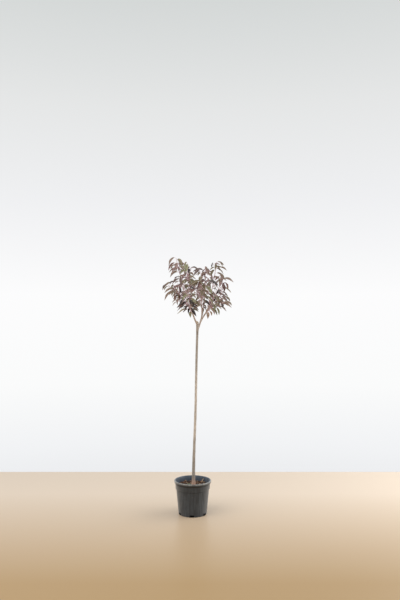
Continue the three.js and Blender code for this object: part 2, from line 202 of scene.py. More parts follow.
def make_floor():
    """Lays a pale floor, painted paler towards the light, that ends a little way behind the pot."""
    material, tree, shader = start_material("floor", FLOOR_ROUGHNESS)
    color = color_along(tree, "Object", "Y", FLOOR_PAINTED_LIGHT)
    tree.links.new(color, shader.inputs["Base Color"])
    mesh = bpy.data.meshes.new("floor")
    corners = [
        (-FLOOR_HALF_WIDTH, FLOOR_NEAR, 0),
        (FLOOR_HALF_WIDTH, FLOOR_NEAR, 0),
        (FLOOR_HALF_WIDTH, FLOOR_FAR, 0),
        (-FLOOR_HALF_WIDTH, FLOOR_FAR, 0),
    ]
    mesh.from_pydata(corners, [], [(0, 1, 2, 3)])
    mesh.materials.append(material)
    floor = bpy.data.objects.new("floor", mesh)
    bpy.context.scene.collection.objects.link(floor)


make_sky()
make_floor()
for lamp_row in LAMPS:
    add_lamp(*lamp_row)
bpy.context.scene.view_settings.view_transform = "Standard"
print("lamps", len(LAMPS), "floor to", FLOOR_FAR, "m behind the stem")

# %% [markdown]
# ## The skeleton
#
# A grafted cherry has one clear stem, a few limbs that leave its graft, and whips that rise from the
# limbs. The source describes each as one curve from its seat to its tip, and the same numbers are
# written here again, so the dressed plant grows along the solids.

# %% Sizes of the skeleton
SEAT_GAP = 0.3
SOIL_HEIGHT = 212
TRUNK_FOOT_X = 6
TRUNK_TOP_X = 37
TRUNK_TOP_HEIGHT = 1455
TRUNK_SWAY = 2.5
TRUNK_HALF_WAVES = 3
TRUNK_STEPS = 14
TRUNK_STEP_MARGIN = 0.2
TRUNK_RADII = (
    (0, 15.5), (0.025, 13.5), (0.09, 11.8), (0.25, 10), (0.5, 9.2),
    (0.92, 8.8), (0.96, 10.2), (0.985, 10.8), (1, 8.8),
)
# Name, parent, seat along it, tip, flare, bare share, radius at the seat, seed
SHOOTS = (
    ("left", "trunk", 0.975, (-38, -110, 1882), 1, 0.4, 6.8, 47),
    ("centre", "trunk", 0.94, (98, 75, 1868), 1, 0.38, 7, 37),
    ("right", "centre", 0.15, (232, 55, 1792), 0.36, 0.35, 5.6, 83),
    ("upper_left", "left", 0.34, (-127, 45, 1936), 0.36, 0.1, 4.6, 39),
    ("side_left", "left", 0.235, (-152, -70, 1735), 0.36, 0.14, 4.4, 88),
    ("lower_left", "left", 0.17, (-50, -160, 1630), 0.5, 0.2, 4, 41),
    ("back_left", "left", 0.3, (-105, 155, 1690), 0.36, 0.14, 4.2, 24),
    ("front", "centre", 0.24, (62, -210, 1770), 0.36, 0.17, 4.6, 81),
    ("back", "centre", 0.32, (20, 215, 1750), 0.36, 0.16, 4.6, 89),
    ("upper_right", "right", 0.29, (178, -60, 1892), 0.36, 0.1, 4.6, 49),
    ("side_right", "right", 0.23, (222, -105, 1672), 0.36, 0.16, 4.4, 7),
    ("lower_right", "right", 0.15, (160, 130, 1615), 0.5, 0.2, 4, 26),
)
SHOOT_TIP_RADIUS = 1.4
SHOOT_TAPER = 0.8
# Where a shoot's curve is led: the height of its first and second handle as a share of its reach,
# and how far the second has gone from the flare to the full width
SHOOT_LEAVE_HEIGHT = 0.3
SHOOT_TURN_HEIGHT = 0.7
SHOOT_TURN_WIDTH = 0.7
BOUGH_STEPS = 5
STEM_STEPS = 6
UP = np.array([0.0, 0.0, 1.0])

# %% [markdown]
# ### Seeded numbers and smooth paths
#
# The same seed has to grow the same shoot every time, so the numbers come from a small multiplying
# generator. A smooth path through a few points is a centripetal Catmull-Rom curve. It is measured
# along its length, so leaves can be spaced evenly on it.


# %% Seeded numbers
def blend(low, high, share):
    """The value at a share of the way from one to another."""
    return low + (high - low) * share


def unit(vector):
    """A vector, or a row of them, at length one."""
    return vector / np.linalg.norm(vector, axis=-1, keepdims=True)


class SeededNumbers:
    """Gives the same row of numbers for the same seed."""

    SPREAD = 7919
    STEP = 48271
    SPAN = 2147483647

    def __init__(self, seed):
        self.state = seed * self.SPREAD

    def between(self, low, high):
        """The next number, between two limits."""
        self.state = self.state * self.STEP % self.SPAN
        return blend(low, high, self.state / self.SPAN)


# %% Smooth paths
def travel_along(points):
    """How far along a path each of its points lies."""
    return np.append(0, np.cumsum(np.linalg.norm(np.diff(points, axis=0), axis=1)))


class SmoothPath:
    """A smooth curve through a row of points."""

    DIVISIONS = 200
    NUDGE = 0.0001

    def __init__(self, points):
        self.points = np.array(points, float)
        first = 2 * self.points[0] - self.points[1]
        last = 2 * self.points[-1] - self.points[-2]
        self.knots = np.vstack([first, self.points, last])
        gaps = np.linalg.norm(np.diff(self.knots, axis=0), axis=1)
        self.spans = np.sqrt(gaps)
        self.shares = np.linspace(0, 1, self.DIVISIONS + 1)
        self.lengths = travel_along(self.points_at(self.shares))
        self.length = self.lengths[-1]

    def points_at(self, shares):
        """Points at shares of the row of points, not of the length."""
        place = np.clip(np.atleast_1d(shares), 0, 1) * (len(self.points) - 1)
        stretch = np.minimum(place.astype(int), len(self.points) - 2)
        t = (place - stretch)[:, None]
        a, b, c, d = (self.knots[stretch + i] for i in range(4))
        before, here, after = (self.spans[stretch + i][:, None] for i in range(3))
        leave = ((b - a) / before - (c - a) / (before + here) + (c - b) / here) * here
        arrive = ((c - b) / here - (d - b) / (here + after) + (d - c) / after) * here
        square = 3 * (c - b) - 2 * leave - arrive
        cube = 2 * (b - c) + leave + arrive
        return b + leave * t + square * t**2 + cube * t**3

    def share_at(self, along):
        """The share of the row that lies at a share of the length."""
        return np.interp(along * self.length, self.lengths, self.shares)

    def point(self, along):
        return self.points_at(self.share_at(along))[0]

    def tangent(self, along):
        share = self.share_at(along)
        ends = self.points_at([max(share - self.NUDGE, 0), min(share + self.NUDGE, 1)])
        return unit(ends[1] - ends[0])

# %% [markdown]
# ### The curves of the trunk and the shoots
#
# A young stem is never quite straight, and a shoot sets off sideways before it turns up to the
# light. A line with a slight sway and a curve with two handles say that in a few numbers each.


# %% Curves of the trunk and the shoots
def trunk_point(share):
    """The middle of the stem at a share of its height, with its lean and sway."""
    sway = TRUNK_SWAY * math.sin(share * TRUNK_HALF_WAVES * math.pi)
    x = blend(TRUNK_FOOT_X, TRUNK_TOP_X, share) - sway * (1 - share)
    z = blend(SOIL_HEIGHT + SEAT_GAP, TRUNK_TOP_HEIGHT, share)
    return np.array([x, sway * share, z])


def trunk_radius(share):
    """The stem's radius at a share of its height."""
    return np.interp(share, *zip(*TRUNK_RADII))


def trunk_shares():
    """Even steps up the trunk, with the shares where its taper changes put in between them."""
    even = [i / TRUNK_STEPS for i in range(TRUNK_STEPS + 1)]
    apart = TRUNK_STEP_MARGIN / TRUNK_STEPS
    extra = [s for s, _ in TRUNK_RADII if all(abs(e - s) > apart for e in even)]
    return sorted(even + extra)


def shoot_curve(start, tip, flare):
    """A shoot sets off outwards and then turns up towards its tip."""
    reach = tip - start
    wide = blend(flare, 1, SHOOT_TURN_WIDTH)
    first = start + reach * (flare, flare, SHOOT_LEAVE_HEIGHT)
    second = start + reach * (wide, wide, SHOOT_TURN_HEIGHT)

    def curve(share):
        s = np.asarray(share, float)[..., None]
        left = 1 - s
        return left**3 * start + 3 * left**2 * s * first + 3 * left * s**2 * second + s**3 * tip

    return curve


print("trunk top", trunk_point(1).round(1))

# %% [markdown]
# ### Plan the shoots
#
# All the shoots are laid out before any of them grows, because each one has to know where the
# others are. The lower, bare share of a shoot is a limb, and the rest carries leaves.


# %% Plan the shoots
class Shoot:
    """One whip of the crown: its curve, its bare limb and all that grows on it."""

    def __init__(self, row, planned):
        self.name, parent, seat, tip, flare, self.bare, self.root, self.seed = row
        start = planned[parent].curve(seat) if parent in planned else trunk_point(seat)
        self.parent = parent
        self.seat = seat
        self.curve = shoot_curve(start, np.array(tip, float), flare)
        self.stem = self.curve(np.linspace(self.bare, 1, STEM_STEPS + 1))
        nudge = SmoothPath.NUDGE
        self.stem[0] += unit(self.curve(self.bare + nudge) - self.curve(self.bare - nudge)) * SEAT_GAP
        self.bare_path = self.curve(np.linspace(0, self.bare, BOUGH_STEPS + 1))
        self.twigs = []
        self.fine_twigs = []
        self.leaves = []
        self.taken = np.empty((0, 3))

    def radius(self, share):
        return blend(self.root, SHOOT_TIP_RADIUS, np.asarray(share) ** SHOOT_TAPER)


shoots = {}
for shoot_row in SHOOTS:
    shoots[shoot_row[0]] = Shoot(shoot_row, shoots)
print("shoots", len(shoots))

# %% [markdown]
# ### Room to grow
#
# A real crown sorts itself out by light: a shoot grows where its neighbours don't. Here a point
# belongs to a shoot if it is nearer to that shoot's stem than to any other and off every limb.
# Working on all the stretches of path at once keeps this quick.

# %% Room to grow
SPACE_MARGIN = 3.5
LIMB_MARGIN = 4


def stretches(paths):
    """The start and end of every straight stretch in some paths."""
    starts = np.vstack([path[:-1] for path in paths])
    ends = np.vstack([path[1:] for path in paths])
    return starts, ends


def distances(points, starts, ends):
    """How far each point is from each stretch."""
    run = ends - starts
    offset = points[:, None] - starts
    along = np.clip((offset * run).sum(2) / (run * run).sum(1), 0, 1)
    return np.linalg.norm(offset - along[..., None] * run, axis=2)


class Room:
    """The space that all the stems, limbs and the trunk share out."""

    def __init__(self):
        self.names = list(shoots)
        stems = [shoots[name].stem for name in self.names]
        limbs = [shoots[name].bare_path for name in self.names]
        self.stems = stretches(stems)
        self.limbs = stretches(limbs)
        self.trunk = stretches([np.array([trunk_point(share) for share in trunk_shares()])])
        self.roots = np.array([shoots[name].root for name in self.names])

    def owns(self, points, shoot):
        """Whether every point is in a shoot's own space."""
        count = len(self.names)
        to_stems = distances(points, *self.stems).reshape(len(points), count, STEM_STEPS).min(2)
        mine = self.names.index(shoot.name)
        own = to_stems[:, mine] + 2 * SPACE_MARGIN
        others = np.delete(to_stems, mine, axis=1).min(1)
        if (others < own).any():
            return False
        to_limbs = distances(points, *self.limbs).reshape(len(points), count, BOUGH_STEPS).min(2)
        if (to_limbs < self.roots + LIMB_MARGIN).any():
            return False
        return distances(points, *self.trunk).min() > TRUNK_RADII[0][1]


def is_clear(points, shoot, leaf_apart, twig_apart):
    """Whether points stay off a shoot's own twigs and its other leaves."""
    if len(shoot.taken):
        gaps = np.linalg.norm(points[:, None] - shoot.taken, axis=2)
        if gaps.min() < leaf_apart:
            return False
    own = stretches([shoot.stem, *shoot.twigs, *shoot.fine_twigs])
    return distances(points, *own).min() > twig_apart


room = Room()
print("room shared by", len(room.names), "shoots")

# %% [markdown]
# ## Growth
#
# Twigs and leaves follow the cherry's own order: each stands 137.5 degrees further round its twig
# than the one below it. The first pass repeats the source's rule with the same seeds. A second pass
# carries it on to finer twigs and the smaller leaves between the big ones.

# %% Sizes of twigs and leaves
TWIG_COUNT = 5
TWIG_FIRST = 0.12
TWIG_LAST = 0.72
TWIG_SCATTER = 0.04
TWIG_LENGTH = 120
TWIG_LENGTH_RANGE = (0.75, 1.2)
TWIG_SHORTENING = 0.5
TWIG_TURN_SCATTER = 20
TWIG_ANGLE = 50
TWIG_LIFT = 0.25
TWIG_STEPS = 3
LEAF_LAST = 0.985
LEAF_TURN = 137.5
LEAF_TURN_SCATTER = 12
LEAF_ANGLE = 62
LEAF_ANGLE_AT_TIP = 38
LEAF_DROOP_RANGE = (0.35, 0.85)
LEAF_EXTRA_DROOP_AT_TIP = 0.25
LEAF_LENGTH = 98
LEAF_LENGTH_RANGE = (0.82, 1.14)
LEAF_WIDTH = 36
LEAF_WIDEST = 0.45
LEAF_MAX_ROLL = 35
ARCH_EASE = 0.3
DRAWN_DROOP = 0.46
RISING_FROM = 0
RISING_FULL = 0.7
RISING_DROOP = 1.3
PETIOLE_LENGTH = 17
STEM_LEAVES_FROM = 0.1
TWIG_LEAVES_FROM = 0.3
TRIES = 8
RETRY_TURN = 61
RETRY_SHRINK = 0.03
TWIG_RETRY_SHRINK = 3 * RETRY_SHRINK
# Size, spacing along the twig, and the gaps to other leaves and to twigs
BIG_LEAVES = (1, 21, 12, 6)


# %% The shape of a leaf
def heading(along, bearing, angle):
    """The direction that leaves a twig at an angle, on the side that a bearing gives."""
    side = unit(np.cross(along, UP))
    upper = np.cross(side, along)
    around, lean = math.radians(bearing), math.radians(angle)
    outward = side * math.cos(around) + upper * math.sin(around)
    return outward * math.sin(lean) + along * math.cos(lean)


class Leaf:
    """A stalk and a blade in two stretches, each turned further down than the one before."""

    def __init__(self, at, along, bearing, length, petiole, droop, roll, angle):
        self.at, self.droop = at, droop
        self.blade = length - petiole
        self.first = heading(along, bearing, angle)
        second = unit(self.first - UP * droop)
        self.stalk_end = at + self.first * petiole
        self.middle, self.tip = self.bent(droop)
        level = unit(np.cross(second, UP))
        face = np.cross(level, second)
        turn = math.radians(roll)
        self.side = level * math.cos(turn) + face * math.sin(turn)
        self.half_width = LEAF_WIDTH * length / LEAF_LENGTH / 2

    def bent(self, droop):
        """The middle and the tip of the blade when it droops by so much."""
        second = unit(self.first - UP * droop)
        third = unit(second - UP * droop)
        middle = self.stalk_end + second * self.blade * LEAF_WIDEST
        return middle, middle + third * self.blade * (1 - LEAF_WIDEST)

    def arch(self):
        """The path of the stalk and the blade. Only leaves that set off upwards droop fully."""
        rising = np.clip((self.first[2] - RISING_FROM) / (RISING_FULL - RISING_FROM), 0, 1)
        middle, tip = self.bent(self.droop * blend(DRAWN_DROOP, RISING_DROOP, rising))
        chord = blend(self.stalk_end, tip, LEAF_WIDEST)
        return SmoothPath([self.at, self.stalk_end, blend(middle, chord, ARCH_EASE), tip])

    def samples(self):
        """Points over the blade that stand for it where its room is tested."""
        places = [blend(self.stalk_end, self.middle, s) for s in (0.5, 1)]
        places += [blend(self.middle, self.tip, s) for s in (0.25, 0.5, 0.75, 1)]
        for half in (-self.half_width, self.half_width):
            places.append(self.middle + self.side * half)
            places.append(blend(self.middle, self.tip, 0.4) + self.side * half * 0.6)
        return np.array(places)


# %% Grow leaves and twigs
def grow_leaves(shoot, numbers, path, start, spray, kind=BIG_LEAVES):
    """Grows leaves along a twig from a share of its length to its tip."""
    size, spacing, leaf_apart, twig_apart = kind
    curve = SmoothPath(path)
    count = max(2, math.floor(curve.length * (1 - start) / spacing + 0.5))
    for i in range(count + 1):
        share = blend(start, LEAF_LAST, i / count)
        at, along = curve.point(share), curve.tangent(share)
        near_tip = share**3
        length = size * LEAF_LENGTH * numbers.between(*LEAF_LENGTH_RANGE)
        droop = numbers.between(*LEAF_DROOP_RANGE) + LEAF_EXTRA_DROOP_AT_TIP * near_tip
        roll = numbers.between(-LEAF_MAX_ROLL, LEAF_MAX_ROLL)
        angle = blend(LEAF_ANGLE, LEAF_ANGLE_AT_TIP, near_tip)
        shoot.turn += LEAF_TURN + numbers.between(-LEAF_TURN_SCATTER, LEAF_TURN_SCATTER)
        for attempt in range(TRIES):
            shrunk = length * (1 - RETRY_SHRINK * attempt)
            leaf = Leaf(at, along, shoot.turn, shrunk, PETIOLE_LENGTH * size, droop, roll, angle)
            leaf.spray, leaf.share = spray, share
            samples = leaf.samples()
            if is_clear(samples, shoot, leaf_apart, twig_apart) and room.owns(samples, shoot):
                shoot.taken = np.vstack([shoot.taken, samples])
                shoot.leaves.append(leaf)
                break
            shoot.turn += RETRY_TURN


def grow_twig(shoot, numbers, parent, share, length, angle, steps):
    """Grows one side twig from a share of its parent, lifting upwards, and returns its path."""
    curve = SmoothPath(parent)
    at, along = curve.point(share), curve.tangent(share)
    full = length * numbers.between(*TWIG_LENGTH_RANGE) * (1 - TWIG_SHORTENING * share)
    shoot.turn += LEAF_TURN + numbers.between(-TWIG_TURN_SCATTER, TWIG_TURN_SCATTER)
    for attempt in range(TRIES):
        stride = full * (1 - TWIG_RETRY_SHRINK * attempt) / steps
        direction = heading(along, shoot.turn, angle)
        path = [at]
        for i in range(1, steps + 1):
            path.append(path[-1] + unit(direction + UP * TWIG_LIFT * i) * stride)
        if room.owns(np.array(path[1:]), shoot):
            return np.array(path)
        shoot.turn += RETRY_TURN
    return None


# %% Grow the source's twigs and leaves
def grow_mass(shoot):
    """Grows a shoot's twigs and big leaves, as the source does."""
    numbers = SeededNumbers(shoot.seed)
    shoot.turn = numbers.between(0, 360)
    for i in range(TWIG_COUNT):
        share = blend(TWIG_FIRST, TWIG_LAST, i / (TWIG_COUNT - 1))
        share += numbers.between(-TWIG_SCATTER, TWIG_SCATTER)
        path = grow_twig(shoot, numbers, shoot.stem, share, TWIG_LENGTH, TWIG_ANGLE, TWIG_STEPS)
        if path is not None:
            shoot.twigs.append(path)
    grow_leaves(shoot, numbers, shoot.stem, STEM_LEAVES_FROM, 0)
    for index, path in enumerate(shoot.twigs):
        grow_leaves(shoot, numbers, path, TWIG_LEAVES_FROM, index + 1)


for shoot in shoots.values():
    grow_mass(shoot)
print("big leaves", sum(len(shoot.leaves) for shoot in shoots.values()))

# %% [markdown]
# ### Carry the rule on to finer twigs
#
# The solids stop at side twigs, because a solid needs some thickness. On the real plant each side
# twig forks again, and short spurs with small leaves fill the stem between the big leaves. They
# follow the same rule at a smaller size and keep to the same space. Some of the big leaves in the
# shaded core and in a few places near the edge are shed first, which opens the crown as far as
# the photograph shows it open.

# %% Grow the finer twigs
FINE_SEED_SHIFT = 461
FINE_TWIG_SHARE = 0.6
FINE_TWIG_LENGTH = 52
FINE_TWIG_ANGLE = 46
FINE_TWIG_STEPS = 2
SPUR_COUNT = 3
SPUR_FIRST = 0.12
SPUR_LAST = 0.85
SPUR_LENGTH = 24
SPUR_ANGLE = 64
SMALL_LEAVES_FROM = 0.6
SMALL_LEAVES = (0.62, 17, 10, 4)
CROWN_CENTRE = (35, 0, 1785)
# Open places as centre and reach: the core, low on the left, the right edge and the left edge
OPEN_PLACES = (
    (CROWN_CENTRE, (150, 150, 90)),
    ((-95, 0, 1590), (75, 170, 65)),
    ((225, 0, 1672), (70, 140, 55)),
    ((-190, 0, 1690), (55, 130, 50)),
)
SHED_SHARE = 0.68
OUTER_SHED_SHARE = 0.12


def grow_fine(shoot):
    """Grows a fork on each side twig and spurs on the stem, with their small leaves."""
    numbers = SeededNumbers(shoot.seed + FINE_SEED_SHIFT)
    forks = (FINE_TWIG_SHARE, FINE_TWIG_LENGTH, FINE_TWIG_ANGLE)
    seats = [(path, *forks, index + 1) for index, path in enumerate(shoot.twigs)]
    for i in range(SPUR_COUNT):
        share = blend(SPUR_FIRST, SPUR_LAST, i / (SPUR_COUNT - 1))
        seats.append((shoot.stem, share, SPUR_LENGTH, SPUR_ANGLE, 0))
    for path, share, length, angle, spray in seats:
        fine = grow_twig(shoot, numbers, path, share, length, angle, FINE_TWIG_STEPS)
        if fine is not None:
            shoot.fine_twigs.append(fine)
            grow_leaves(shoot, numbers, fine, SMALL_LEAVES_FROM, spray, SMALL_LEAVES)


def is_open(point):
    """Tells whether a point lies in one of the places that the photograph shows open."""
    return any(np.linalg.norm((point - place) / np.array(reach)) < 1 for place, reach in OPEN_PLACES)


def shed_leaves(shoot):
    """Drops many of the big leaves in the open places, and a few of the others."""
    numbers = SeededNumbers(shoot.seed + 2 * FINE_SEED_SHIFT)
    kept = []
    for leaf in shoot.leaves:
        share = SHED_SHARE if is_open(leaf.middle) else OUTER_SHED_SHARE
        if numbers.between(0, 1) > share:
            kept.append(leaf)
    shoot.leaves = kept


for shoot in shoots.values():
    shed_leaves(shoot)
    grow_fine(shoot)
print("leaves", sum(len(shoot.leaves) for shoot in shoots.values()))
print("fine twigs", sum(len(shoot.fine_twigs) for shoot in shoots.values()))

# %% [markdown]
# ## Building meshes
#
# Many small things of one kind make one piece, so their corners and faces are gathered in a heap
# first. Most woody parts are tubes: rings of corners that follow a path without twisting. A radius
# for every corner lets the same tube carry relief.

# %% Helpers for pieces
# Edges that turn by more than this many degrees look sharp
CREASE = 60


class Heap:
    """Gathers meshes of one kind, in millimetres, into one piece."""

    def __init__(self):
        self.points = []
        self.faces = []
        self.slots = []
        self.count = 0

    def add(self, points, faces, slots=0):
        """Adds corners and faces. slots is one finish for all the faces, or one for each."""
        self.points.append(points)
        self.faces += [tuple(i + self.count for i in face) for face in faces]
        self.slots += np.broadcast_to(slots, len(faces)).tolist()
        self.count += len(points)


def make_mesh(name, heap, crease):
    """Makes a smooth mesh whose edges are sharp where they turn more than the crease angle."""
    mesh = bpy.data.meshes.new(name)
    mesh.from_pydata((np.vstack(heap.points) * MM).tolist(), [], heap.faces)
    mesh.polygons.foreach_set("material_index", heap.slots)
    mesh.shade_smooth()
    mesh.set_sharp_from_angle(angle=math.radians(crease))
    return mesh


def add_piece(name, shape, materials, nodes, crease=CREASE):
    """Puts a heap or a mesh in the scene as a piece that stands for some nodes of the model."""
    mesh = make_mesh(name, shape, crease) if isinstance(shape, Heap) else shape
    for material in materials:
        mesh.materials.append(material)
    piece = bpy.data.objects.new(name, mesh)
    bpy.context.scene.collection.objects.link(piece)
    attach(piece, "root")
    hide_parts(*nodes)
    mesh.calc_loop_triangles()
    print(name, len(mesh.loop_triangles), "triangles")


# %% Helpers for tubes
def round_angles(count):
    """Even steps once round a ring."""
    return np.linspace(0, 2 * math.pi, count, endpoint=False)


def ring_frames(points):
    """The run of a path and two directions across it at each point, carried along untwisted."""
    run = unit(np.gradient(points, axis=0))
    side = unit(np.cross([1.0, 0.0, 0.0], run[0]))
    sides = [side]
    for direction in run[1:]:
        side = unit(side - direction * (side @ direction))
        sides.append(side)
    sides = np.array(sides)
    return run, sides, np.cross(run, sides)


def band_faces(rings, count):
    """Faces of the bands between rings of corners."""
    faces = []
    for ring in range(rings - 1):
        for i in range(count):
            low, next_low = ring * count + i, ring * count + (i + 1) % count
            faces.append((low, next_low, next_low + count, low + count))
    return faces


def tube_faces(rings, count):
    """The same, with a face that closes each end."""
    ends = [tuple(range(count))[::-1], tuple(range((rings - 1) * count, rings * count))]
    return ends + band_faces(rings, count)


def tube(points, radii, count):
    """Corners and faces of a closed tube. radii holds one radius a ring, or one for each corner."""
    rings = len(points)
    radii = np.asarray(radii, float).reshape(rings, -1)
    _, side, across = ring_frames(points)
    turn = round_angles(count)
    spread = side[:, None] * np.cos(turn)[:, None] + across[:, None] * np.sin(turn)[:, None]
    corners = points[:, None] + spread * radii[..., None]
    return corners.reshape(-1, 3), tube_faces(rings, count)


# %% [markdown]
# ## Finishes
#
# Every surface here is built from two effects. *Mottle* deals out two near colours in soft patches,
# and *grain* gives a fine height that a bump node turns into tooth. Both are node groups that take
# their size and stretch as inputs, so bark, plastic, soil and leaf each get their own values.


# %% Shared effects
MOTTLE_DETAIL, MOTTLE_ROUGHNESS = 4, 0.6
GRAIN_DETAIL, GRAIN_ROUGHNESS = 6, 0.65


def new_group(name, inputs, outputs):
    """Starts a shader node group with named sockets and returns its tree and both ends."""
    tree = bpy.data.node_groups.new(name, "ShaderNodeTree")
    for socket, kind in inputs.items():
        tree.interface.new_socket(name=socket, in_out="INPUT", socket_type=kind)
    for socket, kind in outputs.items():
        tree.interface.new_socket(name=socket, in_out="OUTPUT", socket_type=kind)
    return tree, tree.nodes.new("NodeGroupInput").outputs, tree.nodes.new("NodeGroupOutput")


def stretched_noise(tree, ends, detail, roughness):
    """Noise in the piece's own space, at a scale and stretch from the group's inputs."""
    place = add_node(tree, "ShaderNodeTexCoord")
    stretch = {"Vector": place.outputs["Object"], "Scale": ends["Stretch"]}
    mapping = add_node(tree, "ShaderNodeMapping", stretch)
    looks = {"Vector": mapping.outputs[0], "Scale": ends["Scale"]}
    looks.update({"Detail": detail, "Roughness": roughness})
    return add_node(tree, "ShaderNodeTexNoise", looks).outputs["Fac"]


def mixed(tree, share, first, second, blend_type="MIX"):
    """A mix of two colours. The node numbers its share 0, its colours 6 and 7 and its result 2."""
    colors = {0: share, 6: first, 7: second}
    return add_node(tree, "ShaderNodeMix", colors, data_type="RGBA", blend_type=blend_type).outputs[2]


def make_mottle():
    """Mixes two colours in soft patches."""
    sockets = {
        "First": "NodeSocketColor",
        "Second": "NodeSocketColor",
        "Scale": "NodeSocketFloat",
        "Stretch": "NodeSocketVector",
        "Low": "NodeSocketFloat",
        "High": "NodeSocketFloat",
    }
    tree, ends, out = new_group("mottle", sockets, {"Color": "NodeSocketColor"})
    patches = stretched_noise(tree, ends, MOTTLE_DETAIL, MOTTLE_ROUGHNESS)
    limits = {"Value": patches, "From Min": ends["Low"], "From Max": ends["High"]}
    mask = add_node(tree, "ShaderNodeMapRange", limits).outputs["Result"]
    tree.links.new(mixed(tree, mask, ends["First"], ends["Second"]), out.inputs["Color"])
    return tree


def make_grain():
    """Gives a fine height."""
    sockets = {"Scale": "NodeSocketFloat", "Stretch": "NodeSocketVector"}
    tree, ends, out = new_group("grain", sockets, {"Height": "NodeSocketFloat"})
    height = stretched_noise(tree, ends, GRAIN_DETAIL, GRAIN_ROUGHNESS)
    tree.links.new(height, out.inputs["Height"])
    return tree


MOTTLE = make_mottle()
GRAIN = make_grain()
print("effects", MOTTLE.name, GRAIN.name)


# %% Helpers for finishes
EVEN = (1, 1, 1)


def put_mottle(tree, first, second, scale, stretch=EVEN, low=0.4, high=0.6):
    """Places the mottle group and gives its colour. A colour may be three numbers or a link."""
    solid = [c if isinstance(c, bpy.types.NodeSocket) else (*c, 1) for c in (first, second)]
    looks = {"First": solid[0], "Second": solid[1], "Scale": scale}
    looks.update({"Stretch": stretch, "Low": low, "High": high})
    return add_node(tree, "ShaderNodeGroup", looks, node_tree=MOTTLE).outputs["Color"]


def put_grain(tree, shader, scale, depth, stretch=EVEN, strength=0.6):
    """Places the grain group and lets it tilt the shader's normal. Depth is in metres."""
    looks = {"Scale": scale, "Stretch": stretch}
    grain = add_node(tree, "ShaderNodeGroup", looks, node_tree=GRAIN)
    heights = {"Strength": strength, "Distance": depth, "Height": grain.outputs["Height"]}
    bump = add_node(tree, "ShaderNodeBump", heights)
    tree.links.new(bump.outputs["Normal"], shader.inputs["Normal"])


def mottled(name, first, second, roughness, mottle, grain):
    """A material in patches of two colours with a fine tooth, from both effects' other values."""
    material, tree, shader = start_material(name, roughness)
    tree.links.new(put_mottle(tree, first, second, *mottle), shader.inputs["Base Color"])
    put_grain(tree, shader, *grain)
    return material


# %% [markdown]
# ## Bark
#
# Young cherry bark is smooth and tan to grey, crossed by lenticels, the short raised dashes through
# which it breathes. The larger ones and the scars of trimmed side shoots are real relief in the
# mesh, worked out for each corner of the tube. The finest marks are in the material.

# %% Bark finishes
BARK_TAN = (0.61, 0.53, 0.455)
BARK_GREY = (0.37, 0.315, 0.265)
LENTICEL_PALE = (0.8, 0.7, 0.58)
LIMB_TAN = (0.46, 0.37, 0.3)
LIMB_ROSE = (0.37, 0.28, 0.25)
YOUNG_MAUVE = (0.6, 0.435, 0.475)
YOUNG_BROWN = (0.4, 0.265, 0.28)
CUT_WOOD = (0.62, 0.47, 0.27)
CUT_WOOD_DARK = (0.36, 0.26, 0.15)
FOOT_RUST = (0.55, 0.34, 0.25)
# Name, colour, second colour, roughness, scale of the patches
BARKS = (
    ("stem bark", BARK_TAN, BARK_GREY, 0.72, 45),
    ("limb bark", LIMB_TAN, LIMB_ROSE, 0.6, 70),
    ("young bark", YOUNG_MAUVE, YOUNG_BROWN, 0.42, 110),
)
# Heights in metres between which the stem's foot turns rusty, and the height that counts as one
FOOT_TOP = 0.275
FOOT_BOTTOM = 0.225
TALLEST = 2
# The stem is painted darker at its foot and below the graft, and paler half way up: each pair
# is a height in metres and the share of the bark's paleness that is left there
STEM_SHADES = ((0.38, 0.56), (0.7, 0.97), (0.9, 1), (1.17, 0.6), (1.34, 0.58), (1.45, 0.8))
# Stretch and limits of the patches and of the dashes, and how much finer dashes and tooth are
PATCHES = ((1, 1, 0.5), 0.38, 0.64)
DASHES = ((1, 1, 4.5), 0.6, 0.66)
DASH_FINENESS = 6
BARK_TOOTH_FINENESS = 14
BARK_TOOTH = (0.0006, (1, 1, 2.5))
CUT_ROUGHNESS = 0.8
CUT_MOTTLE = (260,)
CUT_GRAIN = (900, 0.0003)


def bark_material(name, first, second, roughness, scale):
    """Bark in soft patches of two colours, with pale dashes across it and a fine tooth."""
    material, tree, shader = start_material(name, roughness)
    patches = put_mottle(tree, first, second, scale, *PATCHES)
    dashes = put_mottle(tree, patches, LENTICEL_PALE, scale * DASH_FINENESS, *DASHES)
    tree.links.new(dashes, shader.inputs["Base Color"])
    put_grain(tree, shader, scale * BARK_TOOTH_FINENESS, *BARK_TOOTH)
    return material


def shade_by_height(material):
    """Makes the stem darker and paler by stretches of its height, and reddens its foot."""
    tree = material.node_tree
    color = tree.nodes["Principled BSDF"].inputs["Base Color"]
    place = add_node(tree, "ShaderNodeTexCoord")
    height = add_node(tree, "ShaderNodeSeparateXYZ", {0: place.outputs["Object"]}).outputs["Z"]
    part = add_node(tree, "ShaderNodeMath", {0: height, 1: TALLEST}, operation="DIVIDE").outputs[0]
    shade = add_node(tree, "ShaderNodeFloatCurve", {"Value": part})
    curve = shade.mapping.curves[0]
    curve.points[0].location = (0, STEM_SHADES[0][1])
    curve.points[1].location = (1, 1)
    for level, share in STEM_SHADES:
        curve.points.new(level / TALLEST, share)
    shade.mapping.update()
    shaded = mixed(tree, 1, color.links[0].from_socket, shade.outputs[0], "MULTIPLY")
    limits = {"Value": height, "From Min": FOOT_TOP, "From Max": FOOT_BOTTOM}
    low = add_node(tree, "ShaderNodeMapRange", limits).outputs["Result"]
    tree.links.new(mixed(tree, low, shaded, (*FOOT_RUST, 1)), color)


STEM_BARK, LIMB_BARK, YOUNG_BARK = (bark_material(*row) for row in BARKS)
shade_by_height(STEM_BARK)
CUT_FACE = mottled("cut wood", CUT_WOOD, CUT_WOOD_DARK, CUT_ROUGHNESS, CUT_MOTTLE, CUT_GRAIN)
print("barks", *(row[0] for row in BARKS))

